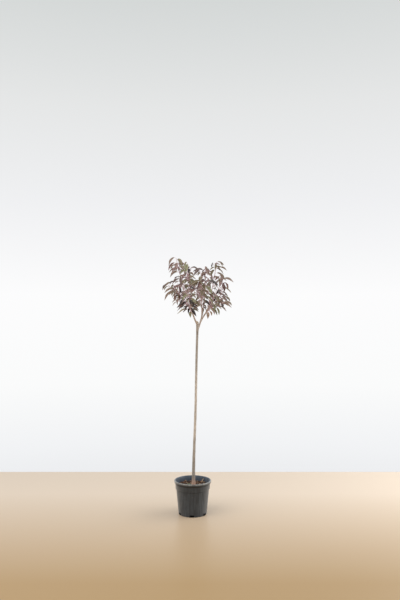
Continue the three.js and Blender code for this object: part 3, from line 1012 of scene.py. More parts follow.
# %% [markdown]
# ### Relief
#
# The larger marks could be sculpted by hand. Here each corner of a tube gets its own height from
# soft noise, and every lenticel and scar adds a small hill of its own. A lenticel is longer across
# the stem than along it, and a scar is about round. A bump map would leave the stem's edge smooth.

# %% Relief of the bark
LUMP_SIZE = 55
LUMP_HEIGHT = 0.55
LUMP_SHIFT = (3, 7, 1)
TOOTH_SIZE = 7
TOOTH_HEIGHT = 0.16
LENTICEL_RISE = 0.4
LENTICEL_HALF_WIDTHS = (2, 5)
LENTICEL_HALF_HEIGHT = 1.1
SCAR_RISE = 1.1
SCAR_HALF_SIZES = (4, 6)
MARKS_BETWEEN = (0.02, 0.98)


def wood_relief(points, numbers, radius, count, lenticels, scars):
    """Heights for the corners of a tube: soft lumps, fine tooth, lenticels and scars."""
    travel = travel_along(points)
    turn = round_angles(count)
    relief = np.zeros((len(points), count))
    for ring, height in enumerate(travel):
        for i, angle in enumerate(turn):
            around = Vector((math.cos(angle) * radius, math.sin(angle) * radius, height))
            relief[ring, i] = LUMP_HEIGHT * noise.noise(around / LUMP_SIZE + Vector(LUMP_SHIFT))
            relief[ring, i] += TOOTH_HEIGHT * noise.noise(around / TOOTH_SIZE)
    marks = []
    for _ in range(lenticels):
        marks.append((numbers.between(*LENTICEL_HALF_WIDTHS), LENTICEL_HALF_HEIGHT, LENTICEL_RISE))
    for _ in range(scars):
        half_sizes = [numbers.between(*SCAR_HALF_SIZES) for _ in range(2)]
        marks.append((*half_sizes, SCAR_RISE))
    for half_width, half_height, rise in marks:
        height = numbers.between(*MARKS_BETWEEN) * travel[-1]
        facing = numbers.between(0, 2 * math.pi)
        off = np.abs((turn - facing + math.pi) % (2 * math.pi) - math.pi) * radius / half_width
        up = (travel - height) / half_height
        relief += rise * np.exp(-(up[:, None] ** 2) - off[None] ** 2)
    return relief


# %% [markdown]
# ### Collars
#
# Wood swells where a limb joins its parent. A Boolean union would leave a hard seam there, so each
# tube keeps its own skin and both are pushed out a little where they come near each other.

# %% Collars
COLLAR_RISE = 1.5
COLLAR_REACH = 4.5
SKIN_STEPS = 110
# The share of a limb, and of the trunk, that a shoot on it can come near
LIMB_LOOKED_AT = (0, 0.6)
TRUNK_LOOKED_AT = (0.8, 1)


def radius_at_seat(shoot):
    """How thick a shoot's parent is where the shoot starts."""
    if shoot.parent in shoots:
        return shoots[shoot.parent].radius(shoot.seat)
    return trunk_radius(shoot.seat)


def skin(shoot, first, last):
    """Points down the middle of a stretch of a shoot, and the radius at each."""
    shares = np.linspace(first, last, SKIN_STEPS)
    return shoot.curve(shares), shoot.radius(shares)


def parent_skin(shoot):
    """The same for the part of a shoot's parent that can come near it."""
    if shoot.parent in shoots:
        return skin(shoots[shoot.parent], *LIMB_LOOKED_AT)
    shares = np.linspace(*TRUNK_LOOKED_AT, SKIN_STEPS)
    return np.array([trunk_point(share) for share in shares]), trunk_radius(shares)


def child_skins(name):
    """The skins of the shoots that start on a parent, from where they come out of it."""
    skins = []
    for child in shoots.values():
        if child.parent == name:
            middle, radii = skin(child, 0, child.bare)
            out = np.linalg.norm(middle - middle[0], axis=1) > radius_at_seat(child)
            skins.append((middle[out], radii[out]))
    return skins


def swell_near(corners, points, count, skins):
    """Pushes the corners of a tube outwards where they are near another skin."""
    outward = unit(corners - np.repeat(points, count, axis=0))
    rise = np.zeros(len(corners))
    for middle, radii in skins:
        reach = np.linalg.norm(corners[:, None] - middle, axis=2)
        gap = np.abs((reach - radii).min(1))
        rise = np.maximum(rise, COLLAR_RISE * np.exp(-gap / COLLAR_REACH))
    corners += outward * rise[:, None]


# %% [markdown]
# ### Stem
#
# The clear stem stands on the compost with a slight root flare and ends in a slanted cut, made
# when its own head was taken off above the graft. It is one fine tube with a welded lip, so that
# the bark rolls over the cut's edge, and the cut face has a finish of bare wood.

# %% Stem
STEM_RINGS = 560
STEM_SIDES = 32
STEM_SEED = 5
STEM_LENTICELS = 240
STEM_SCARS = 9
STEM_RELIEF_RADIUS = 10
FLARE_LOBES = 4
FLARE_LOBE_TURN = 1
FLARE_LOBE_HEIGHT = 1.3
FLARE_REACH = 0.03
SMOOTHING = 9
CUT_SLOPE = 0.85
CUT_BEARING = -35
CUT_REACH = 45
# How far the lip of the cut has come in, as a share of its radius, and its rise there
CUT_LIP = ((0, 0), (0.1, 0.7), (0.18, 0.2), (0.22, -0.3))
CUT_MIDDLE_RISE = 0.2
# In metres
WELD_REACH = 0.00001


def slant(corners, centre):
    """Lowers one side of the stem's head, so that its cut slopes to the front and right."""
    bearing = math.radians(CUT_BEARING)
    facing = np.array([math.cos(bearing), math.sin(bearing), 0])
    top = corners[:, 2].max()
    out = (corners - centre) @ facing + TRUNK_RADII[-1][1]
    part = np.clip((corners[:, 2] - top + CUT_REACH) / CUT_REACH, 0, 1)
    corners[:, 2] -= part * out * CUT_SLOPE


def ring_band(low, high):
    """Corners and faces of the band between two rings."""
    return np.vstack([low, high]), band_faces(2, len(low))


def fan(count):
    """Faces that close a ring to the corner that follows it."""
    return [(i, (i + 1) % count, count) for i in range(count)]


def weld(mesh):
    """Joins corners that lie at one place."""
    work = bmesh.new()
    work.from_mesh(mesh)
    bmesh.ops.remove_doubles(work, verts=work.verts, dist=WELD_REACH)
    work.to_mesh(mesh)
    work.free()


def make_stem():
    """The clear stem, from its flare on the soil to the cut at its head."""
    shares = np.linspace(0, 1, STEM_RINGS)
    points = np.array([trunk_point(share) for share in shares])
    padded = np.pad([trunk_radius(share) for share in shares], SMOOTHING // 2, mode="edge")
    radii = np.convolve(padded, np.ones(SMOOTHING) / SMOOTHING, "valid")
    numbers = SeededNumbers(STEM_SEED)
    marks = (STEM_LENTICELS, STEM_SCARS)
    relief = wood_relief(points, numbers, STEM_RELIEF_RADIUS, STEM_SIDES, *marks)
    lobes = np.cos(round_angles(STEM_SIDES) * FLARE_LOBES + FLARE_LOBE_TURN) * FLARE_LOBE_HEIGHT
    relief += np.exp(-shares / FLARE_REACH)[:, None] * lobes
    heap = Heap()
    corners, faces = tube(points, radii[:, None] + relief, STEM_SIDES)
    swell_near(corners, points, STEM_SIDES, child_skins("trunk"))
    slant(corners, points[-1])
    heap.add(corners, faces[:1] + faces[2:])
    rim = corners[-STEM_SIDES:]
    centre = rim.mean(0)
    steps = [blend(rim, centre, inset) + UP * rise for inset, rise in CUT_LIP]
    for low, high in zip(steps[:-1], steps[1:]):
        heap.add(*ring_band(low, high))
    heap.add(np.vstack([steps[-1], centre + UP * CUT_MIDDLE_RISE]), fan(STEM_SIDES), 1)
    mesh = make_mesh("stem_bark", heap, CREASE)
    weld(mesh)
    add_piece("stem_bark", mesh, [STEM_BARK, CUT_FACE], ["trunk"])


make_stem()

# %% [markdown]
# ## Limbs
#
# Each limb starts thin on its parent's own middle line, so nothing shows of its end, and is at its
# full thickness where it comes out. Both swell where their skins come near each other, which makes
# the collar of a real fork. At its far end a limb thins away inside the young shoot that goes on.

# %% Limbs
LIMB_STEP = 1.8
LIMB_SIDES = 20
LIMB_START = 0.3
LIMB_END = 0.8
LIMB_END_LENGTH = 9
LIMB_RELIEF_RADIUS = 6
LIMB_RELIEF_SHARE = 0.7
LENTICEL_SPACING = 6
MEASURING_STEPS = 30
FEWEST_RINGS = 4


def ring_count(length, step):
    """How many rings a tube of some length gets."""
    return max(FEWEST_RINGS, round(length / step))


def limb_path(shoot):
    """Points down the middle of a shoot's bare limb, and the share of each."""
    length = travel_along(shoot.curve(np.linspace(0, shoot.bare, MEASURING_STEPS)))[-1]
    shares = np.linspace(0, shoot.bare, ring_count(length, LIMB_STEP))
    return shoot.curve(shares), shares


def make_limbs():
    """The bare lower stretch of every shoot, as one piece."""
    heap = Heap()
    for shoot in shoots.values():
        points, shares = limb_path(shoot)
        travel = travel_along(points)
        start = np.interp(travel, (0, radius_at_seat(shoot)), (LIMB_START, 1))
        end = np.interp(travel[-1] - travel, (0, LIMB_END_LENGTH), (LIMB_END, 1))
        numbers = SeededNumbers(shoot.seed)
        marks = (round(travel[-1] / LENTICEL_SPACING), 0)
        relief = wood_relief(points, numbers, LIMB_RELIEF_RADIUS, LIMB_SIDES, *marks)
        radii = (shoot.radius(shares) * start)[:, None] + relief * LIMB_RELIEF_SHARE
        corners, faces = tube(points, radii * end[:, None], LIMB_SIDES)
        swell_near(corners, points, LIMB_SIDES, [parent_skin(shoot), *child_skins(shoot.name)])
        heap.add(corners, faces)
    add_piece("limb_bark", heap, [LIMB_BARK], [f"bough_{name}" for name in shoots])


make_limbs()

# %% [markdown]
# ## Twigs, leaf stalks and buds
#
# The leafy part of a shoot goes on from its limb at the same thickness. It is swollen a little at
# every leaf, where a stalk leaves and a pointed bud sits in the angle. Stalks are kept as a piece
# of their own, because they are a much brighter pink than the wood.

# %% Twigs
TWIG_RADIUS = 2.1
TWIG_TIP_RADIUS = 1.1
FINE_RADIUS = 1.2
FINE_TIP_RADIUS = 0.8
TWIG_STRIDE = 5
TWIG_SIDES = 6
NODE_SWELL = 0.35
NODE_REACH = 2.6
SHOOT_SIDES = 14
SHOOT_SINK_SHARE = 0.035


def with_nodes(points, radii, bases):
    """Swells a twig's radii where leaves leave it."""
    if not len(bases):
        return radii
    gap = np.linalg.norm(points[:, None] - bases, axis=2).min(1)
    return radii + NODE_SWELL * np.exp(-((gap / NODE_REACH) ** 2))


def smooth_points(path, step):
    """Points on a smooth path through some others, at even steps of its length."""
    curve = SmoothPath(path)
    return curve.points_at(curve.share_at(np.linspace(0, 1, ring_count(curve.length, step))))


def make_twigs():
    """The leafy stretch of every shoot and its twigs, as one piece."""
    heap = Heap()
    for shoot in shoots.values():
        bases = np.array([leaf.at for leaf in shoot.leaves])
        sunk = shoot.curve(shoot.bare - SHOOT_SINK_SHARE)
        points = smooth_points(np.vstack([sunk, shoot.stem]), TWIG_STRIDE)
        radii = shoot.radius(np.linspace(shoot.bare, 1, len(points)))
        radii[0] *= LIMB_END
        heap.add(*tube(points, with_nodes(points, radii, bases), SHOOT_SIDES))
        sizes = [(path, TWIG_RADIUS, TWIG_TIP_RADIUS) for path in shoot.twigs]
        sizes += [(path, FINE_RADIUS, FINE_TIP_RADIUS) for path in shoot.fine_twigs]
        for path, thick, thin in sizes:
            points = smooth_points(path, TWIG_STRIDE)
            radii = np.linspace(thick, thin, len(points))
            heap.add(*tube(points, with_nodes(points, radii, bases), TWIG_SIDES))
    add_piece("young_shoots", heap, [YOUNG_BARK], foliage_nodes)


foliage_nodes = [f"foliage_{name}" for name in shoots]
make_twigs()

# %% [markdown]
# ## Leaves
#
# The leaf of this cherry is a long oval with a drawn-out tip and a saw edge. Its halves fold up from
# the midrib and the whole blade arches over, which is why the crown looks so much finer than flat
# leaves would. One pattern of faces serves them all. Slim faces make the side veins, which lean
# towards the tip and have a finish of their own, and the blade is puffed up a little between them.
# The edge has one tooth to each vein, and there an upper and an under side meet.

# %% The pattern of one leaf
VEIN_PAIRS = 11
LEAF_STRETCHES = VEIN_PAIRS + 1
BASE_FULLNESS = 0.75
TIP_TAPER = 1.25
TIP_FULLNESS = 1.1
# Kind of corner, its place in a stretch, its share of the half width, its lean towards the tip,
# half the width of a vein there, and its height on the upper and the under side
LEAF_CORNERS = {
    "rib": (0, 0, 0, 0.0042, 0, -1),
    "half": (0, 0.5, 0.22, 0.0028, 0, -0.6),
    "puff": (0.5, 0.52, 0.22, 0, 0.6, 0.15),
    "edge": (0, 0.97, 0.44, 0, 0, 0),
    "tooth": (0.8, 1.05, 0.44, 0, 0, 0),
}


def outline(share):
    """Half of the blade's width at a share of its length, as a share of its widest."""
    share = np.asarray(share, float)
    base = np.sin(math.pi / 2 * np.clip(share / LEAF_WIDEST, 0, 1) ** BASE_FULLNESS)
    rest = np.clip((share - LEAF_WIDEST) / (1 - LEAF_WIDEST), 0, 1)
    tip = (1 - rest) ** TIP_TAPER * (1 + TIP_FULLNESS * rest)
    return np.where(share < LEAF_WIDEST, base, tip)


def leaf_pattern():
    """Places in the blade (length share, width share, side, height, edge), faces and finishes."""
    rows, index, faces, slots = [], {}, [], []

    def corner(kind, i, part=0):
        """Numbers a corner of this side and layer. The ends and both layers' edges are shared."""
        at_end = i in (0, LEAF_STRETCHES) and kind in ("rib", "half", "edge")
        on_edge = kind in ("edge", "tooth")
        if at_end:
            kind, part = "rib", 0
        here = 0 if kind == "rib" else side
        deep = 0 if at_end or on_edge else layer
        key = (kind, i, here, deep, part)
        if key not in index:
            index[key] = len(rows)
            place, width, lean, half_vein, *heights = LEAF_CORNERS[kind]
            share = (i + place) / LEAF_STRETCHES + part * half_vein
            share += lean * share * (1 - share)
            rows.append((share, width * outline(share), here, heights[deep], on_edge and not at_end))
        return index[key]

    def add_face(corners, slot):
        faces.append(corners if (side > 0) == (layer == 0) else corners[::-1])
        slots.append(slot)

    for layer in (0, 1):
        for side in (-1, 1):
            for i in range(LEAF_STRETCHES):
                puff = corner("puff", i)
                ring = [corner("rib", i, 1), corner("half", i, 1), corner("edge", i), corner("tooth", i)]
                ring += [corner("edge", i + 1), corner("half", i + 1, -1), corner("rib", i + 1, -1)]
                ring = list(dict.fromkeys(ring))
                for near, far in zip(ring, ring[1:] + ring[:1]):
                    add_face((puff, near, far), layer)
            for i in range(1, LEAF_STRETCHES):
                rib, next_rib = corner("rib", i, -1), corner("rib", i, 1)
                half, next_half = corner("half", i, -1), corner("half", i, 1)
                for face in ((rib, half, next_half), (rib, next_half, next_rib)):
                    add_face(face, layer + 2)
                add_face((half, corner("edge", i), next_half), layer + 2)
    return np.array(rows, float), faces, slots


PATTERN, PATTERN_FACES, PATTERN_SLOTS = leaf_pattern()
print("corners", len(PATTERN), "faces", len(PATTERN_FACES))

# %% [markdown]
# ### Finishes of the leaves
#
# In the crown the leaves at the tips are the reddest, and the others range from dusky purple to
# bronze and olive. A picture of a leaf would repeat itself, so each spray takes one of four plain
# tints with soft patches in it. The veins are a little nearer to the stalk's pink, and the under
# side is paler.

# %% Leaf finishes
# Name, weight, upper colour, its patches, under side
TINTS = (
    ("burgundy", 0.26, (0.1, 0.047, 0.038), (0.17, 0.085, 0.068), (0.36, 0.23, 0.23)),
    ("dusky", 0.24, (0.028, 0.022, 0.018), (0.048, 0.039, 0.032), (0.28, 0.22, 0.22)),
    ("bronze", 0.24, (0.145, 0.115, 0.065), (0.23, 0.19, 0.11), (0.4, 0.32, 0.28)),
    ("olive", 0.26, (0.19, 0.188, 0.095), (0.3, 0.295, 0.168), (0.41, 0.39, 0.29)),
)
STALK_PINK = (0.84, 0.58, 0.66)
STALK_RED = (0.52, 0.29, 0.33)
BUD_BROWN = (0.2, 0.1, 0.075)
VEIN_REDNESS = 0.22
VEIN_FADE = 0.3
UNDER_PALENESS = 0.06
BLADE_ROUGHNESS = 0.4
UNDER_ROUGHNESS = 0.55
VEIN_ROUGHNESS = 0.45
UNDER_VEIN_ROUGHNESS = 0.5
WHITE = (1, 1, 1)
LEAF_MOTTLE = (55, EVEN, 0.35, 0.65)
LEAF_GRAIN = (420, 0.0004, EVEN, 0.35)


def leaf_material(name, first, second, roughness):
    """A leaf's soft patches and fine grain in two colours of its own."""
    return mottled(name, first, second, roughness, LEAF_MOTTLE, LEAF_GRAIN)


def blend_colors(first, second, share):
    """The colour at a share of the way from one to another."""
    return tuple(blend(low, high, share) for low, high in zip(first, second))


leaf_finishes = {}
for tint, _, upper, patch, under in TINTS:
    vein = blend_colors(patch, STALK_PINK, VEIN_REDNESS)
    under_vein = blend_colors(under, STALK_PINK, VEIN_REDNESS)
    leaf_finishes[tint] = [
        leaf_material(f"{tint} leaf", upper, patch, BLADE_ROUGHNESS),
        leaf_material(
            f"{tint} leaf under", under, blend_colors(under, WHITE, UNDER_PALENESS), UNDER_ROUGHNESS
        ),
        leaf_material(f"{tint} vein", blend_colors(vein, upper, VEIN_FADE), vein, VEIN_ROUGHNESS),
        leaf_material(f"{tint} vein under", under, under_vein, UNDER_VEIN_ROUGHNESS),
    ]
STALK = leaf_material("leaf stalk", STALK_PINK, STALK_RED, BLADE_ROUGHNESS)
BUD = leaf_material("bud", BUD_BROWN, YOUNG_BROWN, VEIN_ROUGHNESS)
print("leaf tints", *leaf_finishes)

# %% [markdown]
# ### Lay the leaves
#
# Every leaf is the one pattern bent along its own arch, with its own fold, twist and wavy edge, and
# turned a little towards the light outside the crown. Copies of one flat leaf would be lighter,
# but their likeness shows at once. A seeded draw for each third of a spray picks the tint, so
# neighbours match as they do on a tree.

# %% Make the leaves
BLADE_WIDTH_SHARE = 0.86
FOLD_RANGE = (26, 50)
TWIST_RANGE = (-22, 22)
WAVE_RANGE = (0.4, 1.6)
# Places on the leaf's path, the last ones on the blade's midrib, and the radius at each
STALK_PLACES = (0, 0.04, 0.15, 0.25, 0.33, 0.42, 0.52, 0.62, 0.72, 0.82, 0.92)
STALK_RADII = (1.2, 0.9, 0.75, 0.75, 0.75, 0.62, 0.52, 0.45, 0.38, 0.3, 0.15)
# Shares of the path where the blade begins, is widest and ends
BLADE_PLACES = (1 / 3, 2 / 3, 1)
STALK_SIDES = 5
BUD_OUT = 1.2
BUD_RISE = 0.9
BUD_LENGTH = 4.2
BUD_PLACES = ((0.1,), (0.4,), (0.7,), (1,))
BUD_RADII = (0.7, 1.25, 0.95, 0.15)
EDGE_RIPPLES = 9
ARCH_NUDGE = 0.002
BLADE_CREASE = 75
LOOKS_SEED_STEP = 71
LIGHT_FROM_ABOVE = 0.6
LIGHT_SHARE = 0.5
AGE_SHIFT = 0.25


def blade_corners(leaf, numbers):
    """Lays the pattern on one leaf's arch, with its own fold, twist and wavy edge."""
    fold = math.radians(numbers.between(*FOLD_RANGE))
    twist = math.radians(numbers.between(*TWIST_RANGE))
    wave = numbers.between(*WAVE_RANGE)
    phase = numbers.between(0, 2 * math.pi)
    arch = leaf.arch()
    share, width, side, height, edge = PATTERN.T
    places = np.interp(share, (0, LEAF_WIDEST, 1), BLADE_PLACES)
    centre = arch.points_at(places)
    run = unit(arch.points_at(places + ARCH_NUDGE) - arch.points_at(places - ARCH_NUDGE))
    upper = unit(np.cross(leaf.side, run))
    light = unit(unit(leaf.middle - CROWN_CENTRE) + UP * LIGHT_FROM_ABOVE)
    across = unit(np.cross(run, blend(upper, light, LIGHT_SHARE)))
    upper = np.cross(across, run)
    turn = (twist * share)[:, None]
    across = across * np.cos(turn) + upper * np.sin(turn)
    upper = np.cross(across, run)
    reach = (side * width * leaf.half_width * BLADE_WIDTH_SHARE)[:, None]
    ripple = edge * wave * np.sin(phase + share * EDGE_RIPPLES + side) + height
    lift = np.abs(reach) * math.sin(fold) + ripple[:, None]
    return centre + across * reach * math.cos(fold) + upper * lift


def deal(rows, draw):
    """The name of the row that a draw between 0 and 1 falls on, by the rows' weights."""
    for name, weight, *_ in rows:
        draw -= weight
        if draw <= 0:
            return name
    return rows[-1][0]


def tint_for(shoot, leaf):
    """The tint of a leaf's spray, dealt out by weight. The young tips are the reddest."""
    third = min(2, int(leaf.share * 3))
    numbers = SeededNumbers(shoot.seed * LOOKS_SEED_STEP + leaf.spray * 3 + third)
    # This draw is passed over, and the one after it deals the tint
    numbers.between(0, 1)
    draw = numbers.between(0, 1 - AGE_SHIFT) + AGE_SHIFT * (1 - third / 2)
    return deal(TINTS, draw)


def make_leaves():
    """Blades in four tints, stalks with their midribs, and buds, each kind as a piece."""
    blades = {tint: Heap() for tint, *_ in TINTS}
    stalks, buds = Heap(), Heap()
    for shoot in shoots.values():
        numbers = SeededNumbers(shoot.seed + LOOKS_SEED_STEP)
        for leaf in shoot.leaves:
            corners = blade_corners(leaf, numbers)
            blades[tint_for(shoot, leaf)].add(corners, PATTERN_FACES, PATTERN_SLOTS)
            stalk = leaf.arch().points_at(STALK_PLACES)
            stalks.add(*tube(stalk, STALK_RADII, STALK_SIDES))
            outward = unit(leaf.stalk_end - leaf.at)
            lean = unit(outward + UP * BUD_RISE)
            bud = leaf.at + outward * BUD_OUT + lean * BUD_LENGTH * np.array(BUD_PLACES)
            buds.add(*tube(bud, BUD_RADII, STALK_SIDES))
    for tint, heap in blades.items():
        materials = leaf_finishes[tint]
        add_piece(f"leaves_{tint}", heap, materials, foliage_nodes, BLADE_CREASE)
    add_piece("leaf_stalks", stalks, [STALK], foliage_nodes)
    add_piece("buds", buds, [BUD], foliage_nodes)


make_leaves()

# %% [markdown]
# ## Pot
#
# The pot is a thin black nursery pot, moulded in one piece. Turning a profile gives its wall, band
# and rolled rim, and the corners of the lower wall are drawn in a little at even steps round it,
# which makes its faint upright flutes. A Boolean modifier cuts the drain notches and is applied.

# %% Pot finish
# Name, colour, second colour of its streaks, weight of the grey bloom. plastic_for gives their places in
# this list
PLASTICS = (
    ("wall", (0.0135, 0.0185, 0.0245), (0.037, 0.046, 0.055), 0.42),
    # Painted reflection: the inside is paler and bluer than the wall, for the sky it reflects
    ("inside", (0.06, 0.078, 0.105), (0.11, 0.135, 0.17), 0.3),
    # Painted highlight: the rim's paler colours stand in for the light on its top and upper face
    ("rim", (0.085, 0.085, 0.085), (0.3, 0.29, 0.27), 0.5),
    ("shaded", (0.006, 0.006, 0.006), (0.009, 0.009, 0.009), 0),
)
WALL, INSIDE_REFLECTION, RIM_HIGHLIGHT, SHADED = range(len(PLASTICS))
DUST = (0.16, 0.15, 0.14)
PLASTIC_ROUGHNESS = 0.36
BLOOM_ROUGHNESS = 0.45
STREAKS = (60, (1, 1, 0.06), 0.4, 0.7)
SCUFFS = (160, EVEN, 0.62, 0.8)
PLASTIC_GRAIN = (700, 0.0002, EVEN, 0.4)


def plastic(name, dark, streak_color, bloom):
    """Moulded plastic with upright streaks, dusty scuffs and the grey bloom that age gives it."""
    material, tree, shader = start_material(f"plastic {name}", PLASTIC_ROUGHNESS)
    color = put_mottle(tree, dark, streak_color, *STREAKS)
    if bloom:
        color = put_mottle(tree, color, DUST, *SCUFFS)
    tree.links.new(color, shader.inputs["Base Color"])
    shader.inputs["Sheen Weight"].default_value = bloom
    shader.inputs["Sheen Roughness"].default_value = BLOOM_ROUGHNESS
    put_grain(tree, shader, *PLASTIC_GRAIN)
    return material


pot_materials = [plastic(*row) for row in PLASTICS]
print("plastics", len(pot_materials))

# %% [markdown]
# ### Shape of the pot
#
# A moulded pot has the same section all the way round, so it is drawn here as one line, from the
# foot up the outside, over the rim and down the inside. Stacked cylinders would give the wall and
# the band, but not the roll of the rim or the groove of the ledge.

# %% Pot profile
POT_SEGMENTS = 288
FLUTES = 48
FLUTE_DEPTH = 1.2
FLUTE_BOTTOM = 14
FLUTE_TOP = 178
WALL_STEPS = 12
NOTCH_COUNT = 6
NOTCH_TURN = -3.5
NOTCH_WIDTH = 34
NOTCH_HEIGHT = 16.5
NOTCH_SILL = 0.7
NOTCH_REACH = 30
NOTCH_ROUNDING = 8
POT_BASE_RADIUS = 107
POT_SHOULDER_RADIUS = 124.5
POT_SHOULDER_HEIGHT = 186
POT_BAND_RADIUS = 130
POT_NECK_RADIUS = 132
LEDGE_GROOVE = 1.4
POT_RIM_RADIUS = 140
POT_HEIGHT = 252
POT_RIM_DROP = 17
POT_WALL = 2.5
POT_FOOT_WIDTH = 12
WALL_FOOT = 4


def pot_profile():
    """Radius and height of the pot's section, from the middle of its foot round to its floor."""
    rim_foot = POT_HEIGHT - POT_RIM_DROP
    inside = POT_NECK_RADIUS - POT_WALL
    wall = []
    for i in range(WALL_STEPS + 1):
        share = i / WALL_STEPS
        height = blend(WALL_FOOT, POT_SHOULDER_HEIGHT, share)
        wall.append((blend(POT_BASE_RADIUS, POT_SHOULDER_RADIUS, share), height))
    inner_wall = [(radius - POT_WALL, max(height, POT_WALL)) for radius, height in wall[::-1]]
    return [
        # The foot and the lower wall
        (POT_BASE_RADIUS - POT_FOOT_WIDTH, 0),
        (POT_BASE_RADIUS - 3, 0),
        (POT_BASE_RADIUS - 0.9, 0.9),
        *wall,
        # The ledge below the band, and the band
        (POT_SHOULDER_RADIUS - LEDGE_GROOVE, POT_SHOULDER_HEIGHT + 1),
        (POT_SHOULDER_RADIUS - LEDGE_GROOVE, POT_SHOULDER_HEIGHT + 3.6),
        (POT_BAND_RADIUS - 0.7, POT_SHOULDER_HEIGHT + 3.6),
        (POT_BAND_RADIUS, POT_SHOULDER_HEIGHT + 4.6),
        (blend(POT_BAND_RADIUS, POT_NECK_RADIUS, 0.6), rim_foot - 9),
        (blend(POT_BAND_RADIUS, POT_NECK_RADIUS, 0.7), rim_foot),
        # The rolled rim: its under side, its face and its top
        (POT_NECK_RADIUS, POT_HEIGHT - 5.5),
        (POT_NECK_RADIUS + 0.6, POT_HEIGHT - 4.5),
        (POT_RIM_RADIUS - 3.5, POT_HEIGHT - 4.5),
        (POT_RIM_RADIUS - POT_WALL - 0.6, POT_HEIGHT - 6.5),
        (POT_RIM_RADIUS - POT_WALL - 1, rim_foot + 0.8),
        (POT_RIM_RADIUS - 2.6, rim_foot),
        (POT_RIM_RADIUS - 1.5, rim_foot + 0.3),
        (POT_RIM_RADIUS - 0.9, rim_foot + 1.4),
        (POT_RIM_RADIUS - 0.6, POT_HEIGHT - 8.5),
        (POT_RIM_RADIUS - 0.2, POT_HEIGHT - 6.5),
        (POT_RIM_RADIUS, POT_HEIGHT - 4.6),
        (POT_RIM_RADIUS - 0.7, POT_HEIGHT - 2.2),
        (POT_RIM_RADIUS - 2.2, POT_HEIGHT - 0.7),
        (POT_RIM_RADIUS - 4.4, POT_HEIGHT),
        # The inside
        (inside + 2.5, POT_HEIGHT),
        (inside + 0.8, POT_HEIGHT - 0.8),
        (inside, POT_HEIGHT - 3),
        (blend(POT_BAND_RADIUS, POT_NECK_RADIUS, 0.5) - POT_WALL, rim_foot - 12),
        (POT_BAND_RADIUS - POT_WALL, POT_SHOULDER_HEIGHT + 5),
        *inner_wall,
        (POT_BASE_RADIUS - POT_FOOT_WIDTH, POT_WALL),
    ]


# %% Helpers for turned and cut shapes
def turned(profile, segments, depth_at):
    """Turns a profile about the Z axis and closes it at the middle. depth_at draws corners in."""
    turn = round_angles(segments)
    rings = []
    for index, (radius, height) in enumerate(profile):
        drawn = radius - depth_at(index, height, turn)
        rings.append(np.stack([drawn * np.cos(turn), drawn * np.sin(turn), np.full(segments, height)], 1))
    ends = np.array([[0, 0, profile[0][1]], [0, 0, profile[-1][1]]])
    corners = np.vstack([*rings, ends])
    faces = band_faces(len(profile), segments)
    last = (len(profile) - 1) * segments
    for i in range(segments):
        following = (i + 1) % segments
        faces.append((len(corners) - 2, following, i))
        faces.append((len(corners) - 1, last + i, last + following))
    return corners, faces


def turn_about(axis, degrees):
    """The matrix that turns rows of points about an axis."""
    angle = math.radians(degrees)
    matrix = np.eye(3)
    first, second = [i for i in range(3) if i != axis]
    matrix[first, first] = matrix[second, second] = math.cos(angle)
    matrix[first, second] = math.sin(angle)
    matrix[second, first] = -math.sin(angle)
    return matrix


def applied(thing):
    """A thing's mesh with its modifiers applied."""
    graph = bpy.context.evaluated_depsgraph_get()
    return bpy.data.meshes.new_from_object(thing.evaluated_get(graph))


# %% Pot
POT_CREASE = 35
BEND_STEPS = 6
# Where the finishes change, from the pot's top, its rim's edge and the top of its notches
RIM_FACE_DROP = 9
RIM_FACE_WIDTH = 6
UNDER_RIM_DROP = 4
UNDER_RIM_INSET = 1
NOTCH_SHADE = 4
NOTCH_SHADE_DEPTH = 0.4 * POT_WALL
# How far a face's direction may turn down on the rim, and how far it has to turn in to be inside
RIM_TURN_DOWN = -0.2
INSIDE_TURN_IN = -0.3


def notch_cutters():
    """Six arches that reach through the wall just above the pot's foot."""
    heap = Heap()
    half = NOTCH_WIDTH / 2
    bend = np.radians(np.linspace(0, 90, BEND_STEPS))
    inset = NOTCH_ROUNDING * (1 - np.cos(bend))
    drop = NOTCH_ROUNDING * (1 - np.sin(bend))
    right = np.stack([half - inset, NOTCH_HEIGHT - drop], 1)
    left = right[::-1] * (-1, 1)
    arch = np.vstack([[half, NOTCH_SILL], right, left, [-half, NOTCH_SILL]])
    count = len(arch)
    near = np.full(count, -POT_BASE_RADIUS - NOTCH_REACH / 2)
    far = near + NOTCH_REACH
    flat = np.vstack([np.column_stack([arch[:, 0], y, arch[:, 1]]) for y in (near, far)])
    faces = [tuple(range(count)), tuple(range(count, 2 * count))[::-1]]
    faces += [(i, i + count, (i + 1) % count + count, (i + 1) % count) for i in range(count)]
    for index in range(NOTCH_COUNT):
        heap.add(flat @ turn_about(2, NOTCH_TURN + 360 * index / NOTCH_COUNT), faces)
    return heap


def plastic_for(centre, normal):
    """The finish of a face of the pot, as its place in the list of plastics."""
    out = math.hypot(centre.x, centre.y)
    faces_in = normal.x * centre.x + normal.y * centre.y < INSIDE_TURN_IN * out
    on_rim = centre.z > POT_HEIGHT - RIM_FACE_DROP and out > POT_RIM_RADIUS - RIM_FACE_WIDTH
    # Painted highlight on the rim's top and upper face
    if on_rim and normal.z > RIM_TURN_DOWN:
        return RIM_HIGHLIGHT
    under_rim = POT_HEIGHT - POT_RIM_DROP - RIM_FACE_DROP < centre.z < POT_HEIGHT - UNDER_RIM_DROP
    if under_rim and out < POT_RIM_RADIUS - UNDER_RIM_INSET and not faces_in:
        return SHADED
    # Painted reflection of the sky on the inner wall above the band
    if faces_in and centre.z > POT_SHOULDER_HEIGHT:
        return INSIDE_REFLECTION
    if centre.z < NOTCH_HEIGHT + NOTCH_SHADE and (faces_in or out < POT_BASE_RADIUS - NOTCH_SHADE_DEPTH):
        return SHADED
    return WALL


def flutes(index, height, turn):
    """How far the outside of the lower wall is drawn in, which makes its upright flutes."""
    if index > len(pot_profile()) // 2 or not FLUTE_BOTTOM < height < FLUTE_TOP:
        return np.zeros(len(turn))
    return FLUTE_DEPTH * (0.5 - 0.5 * np.cos(turn * FLUTES))


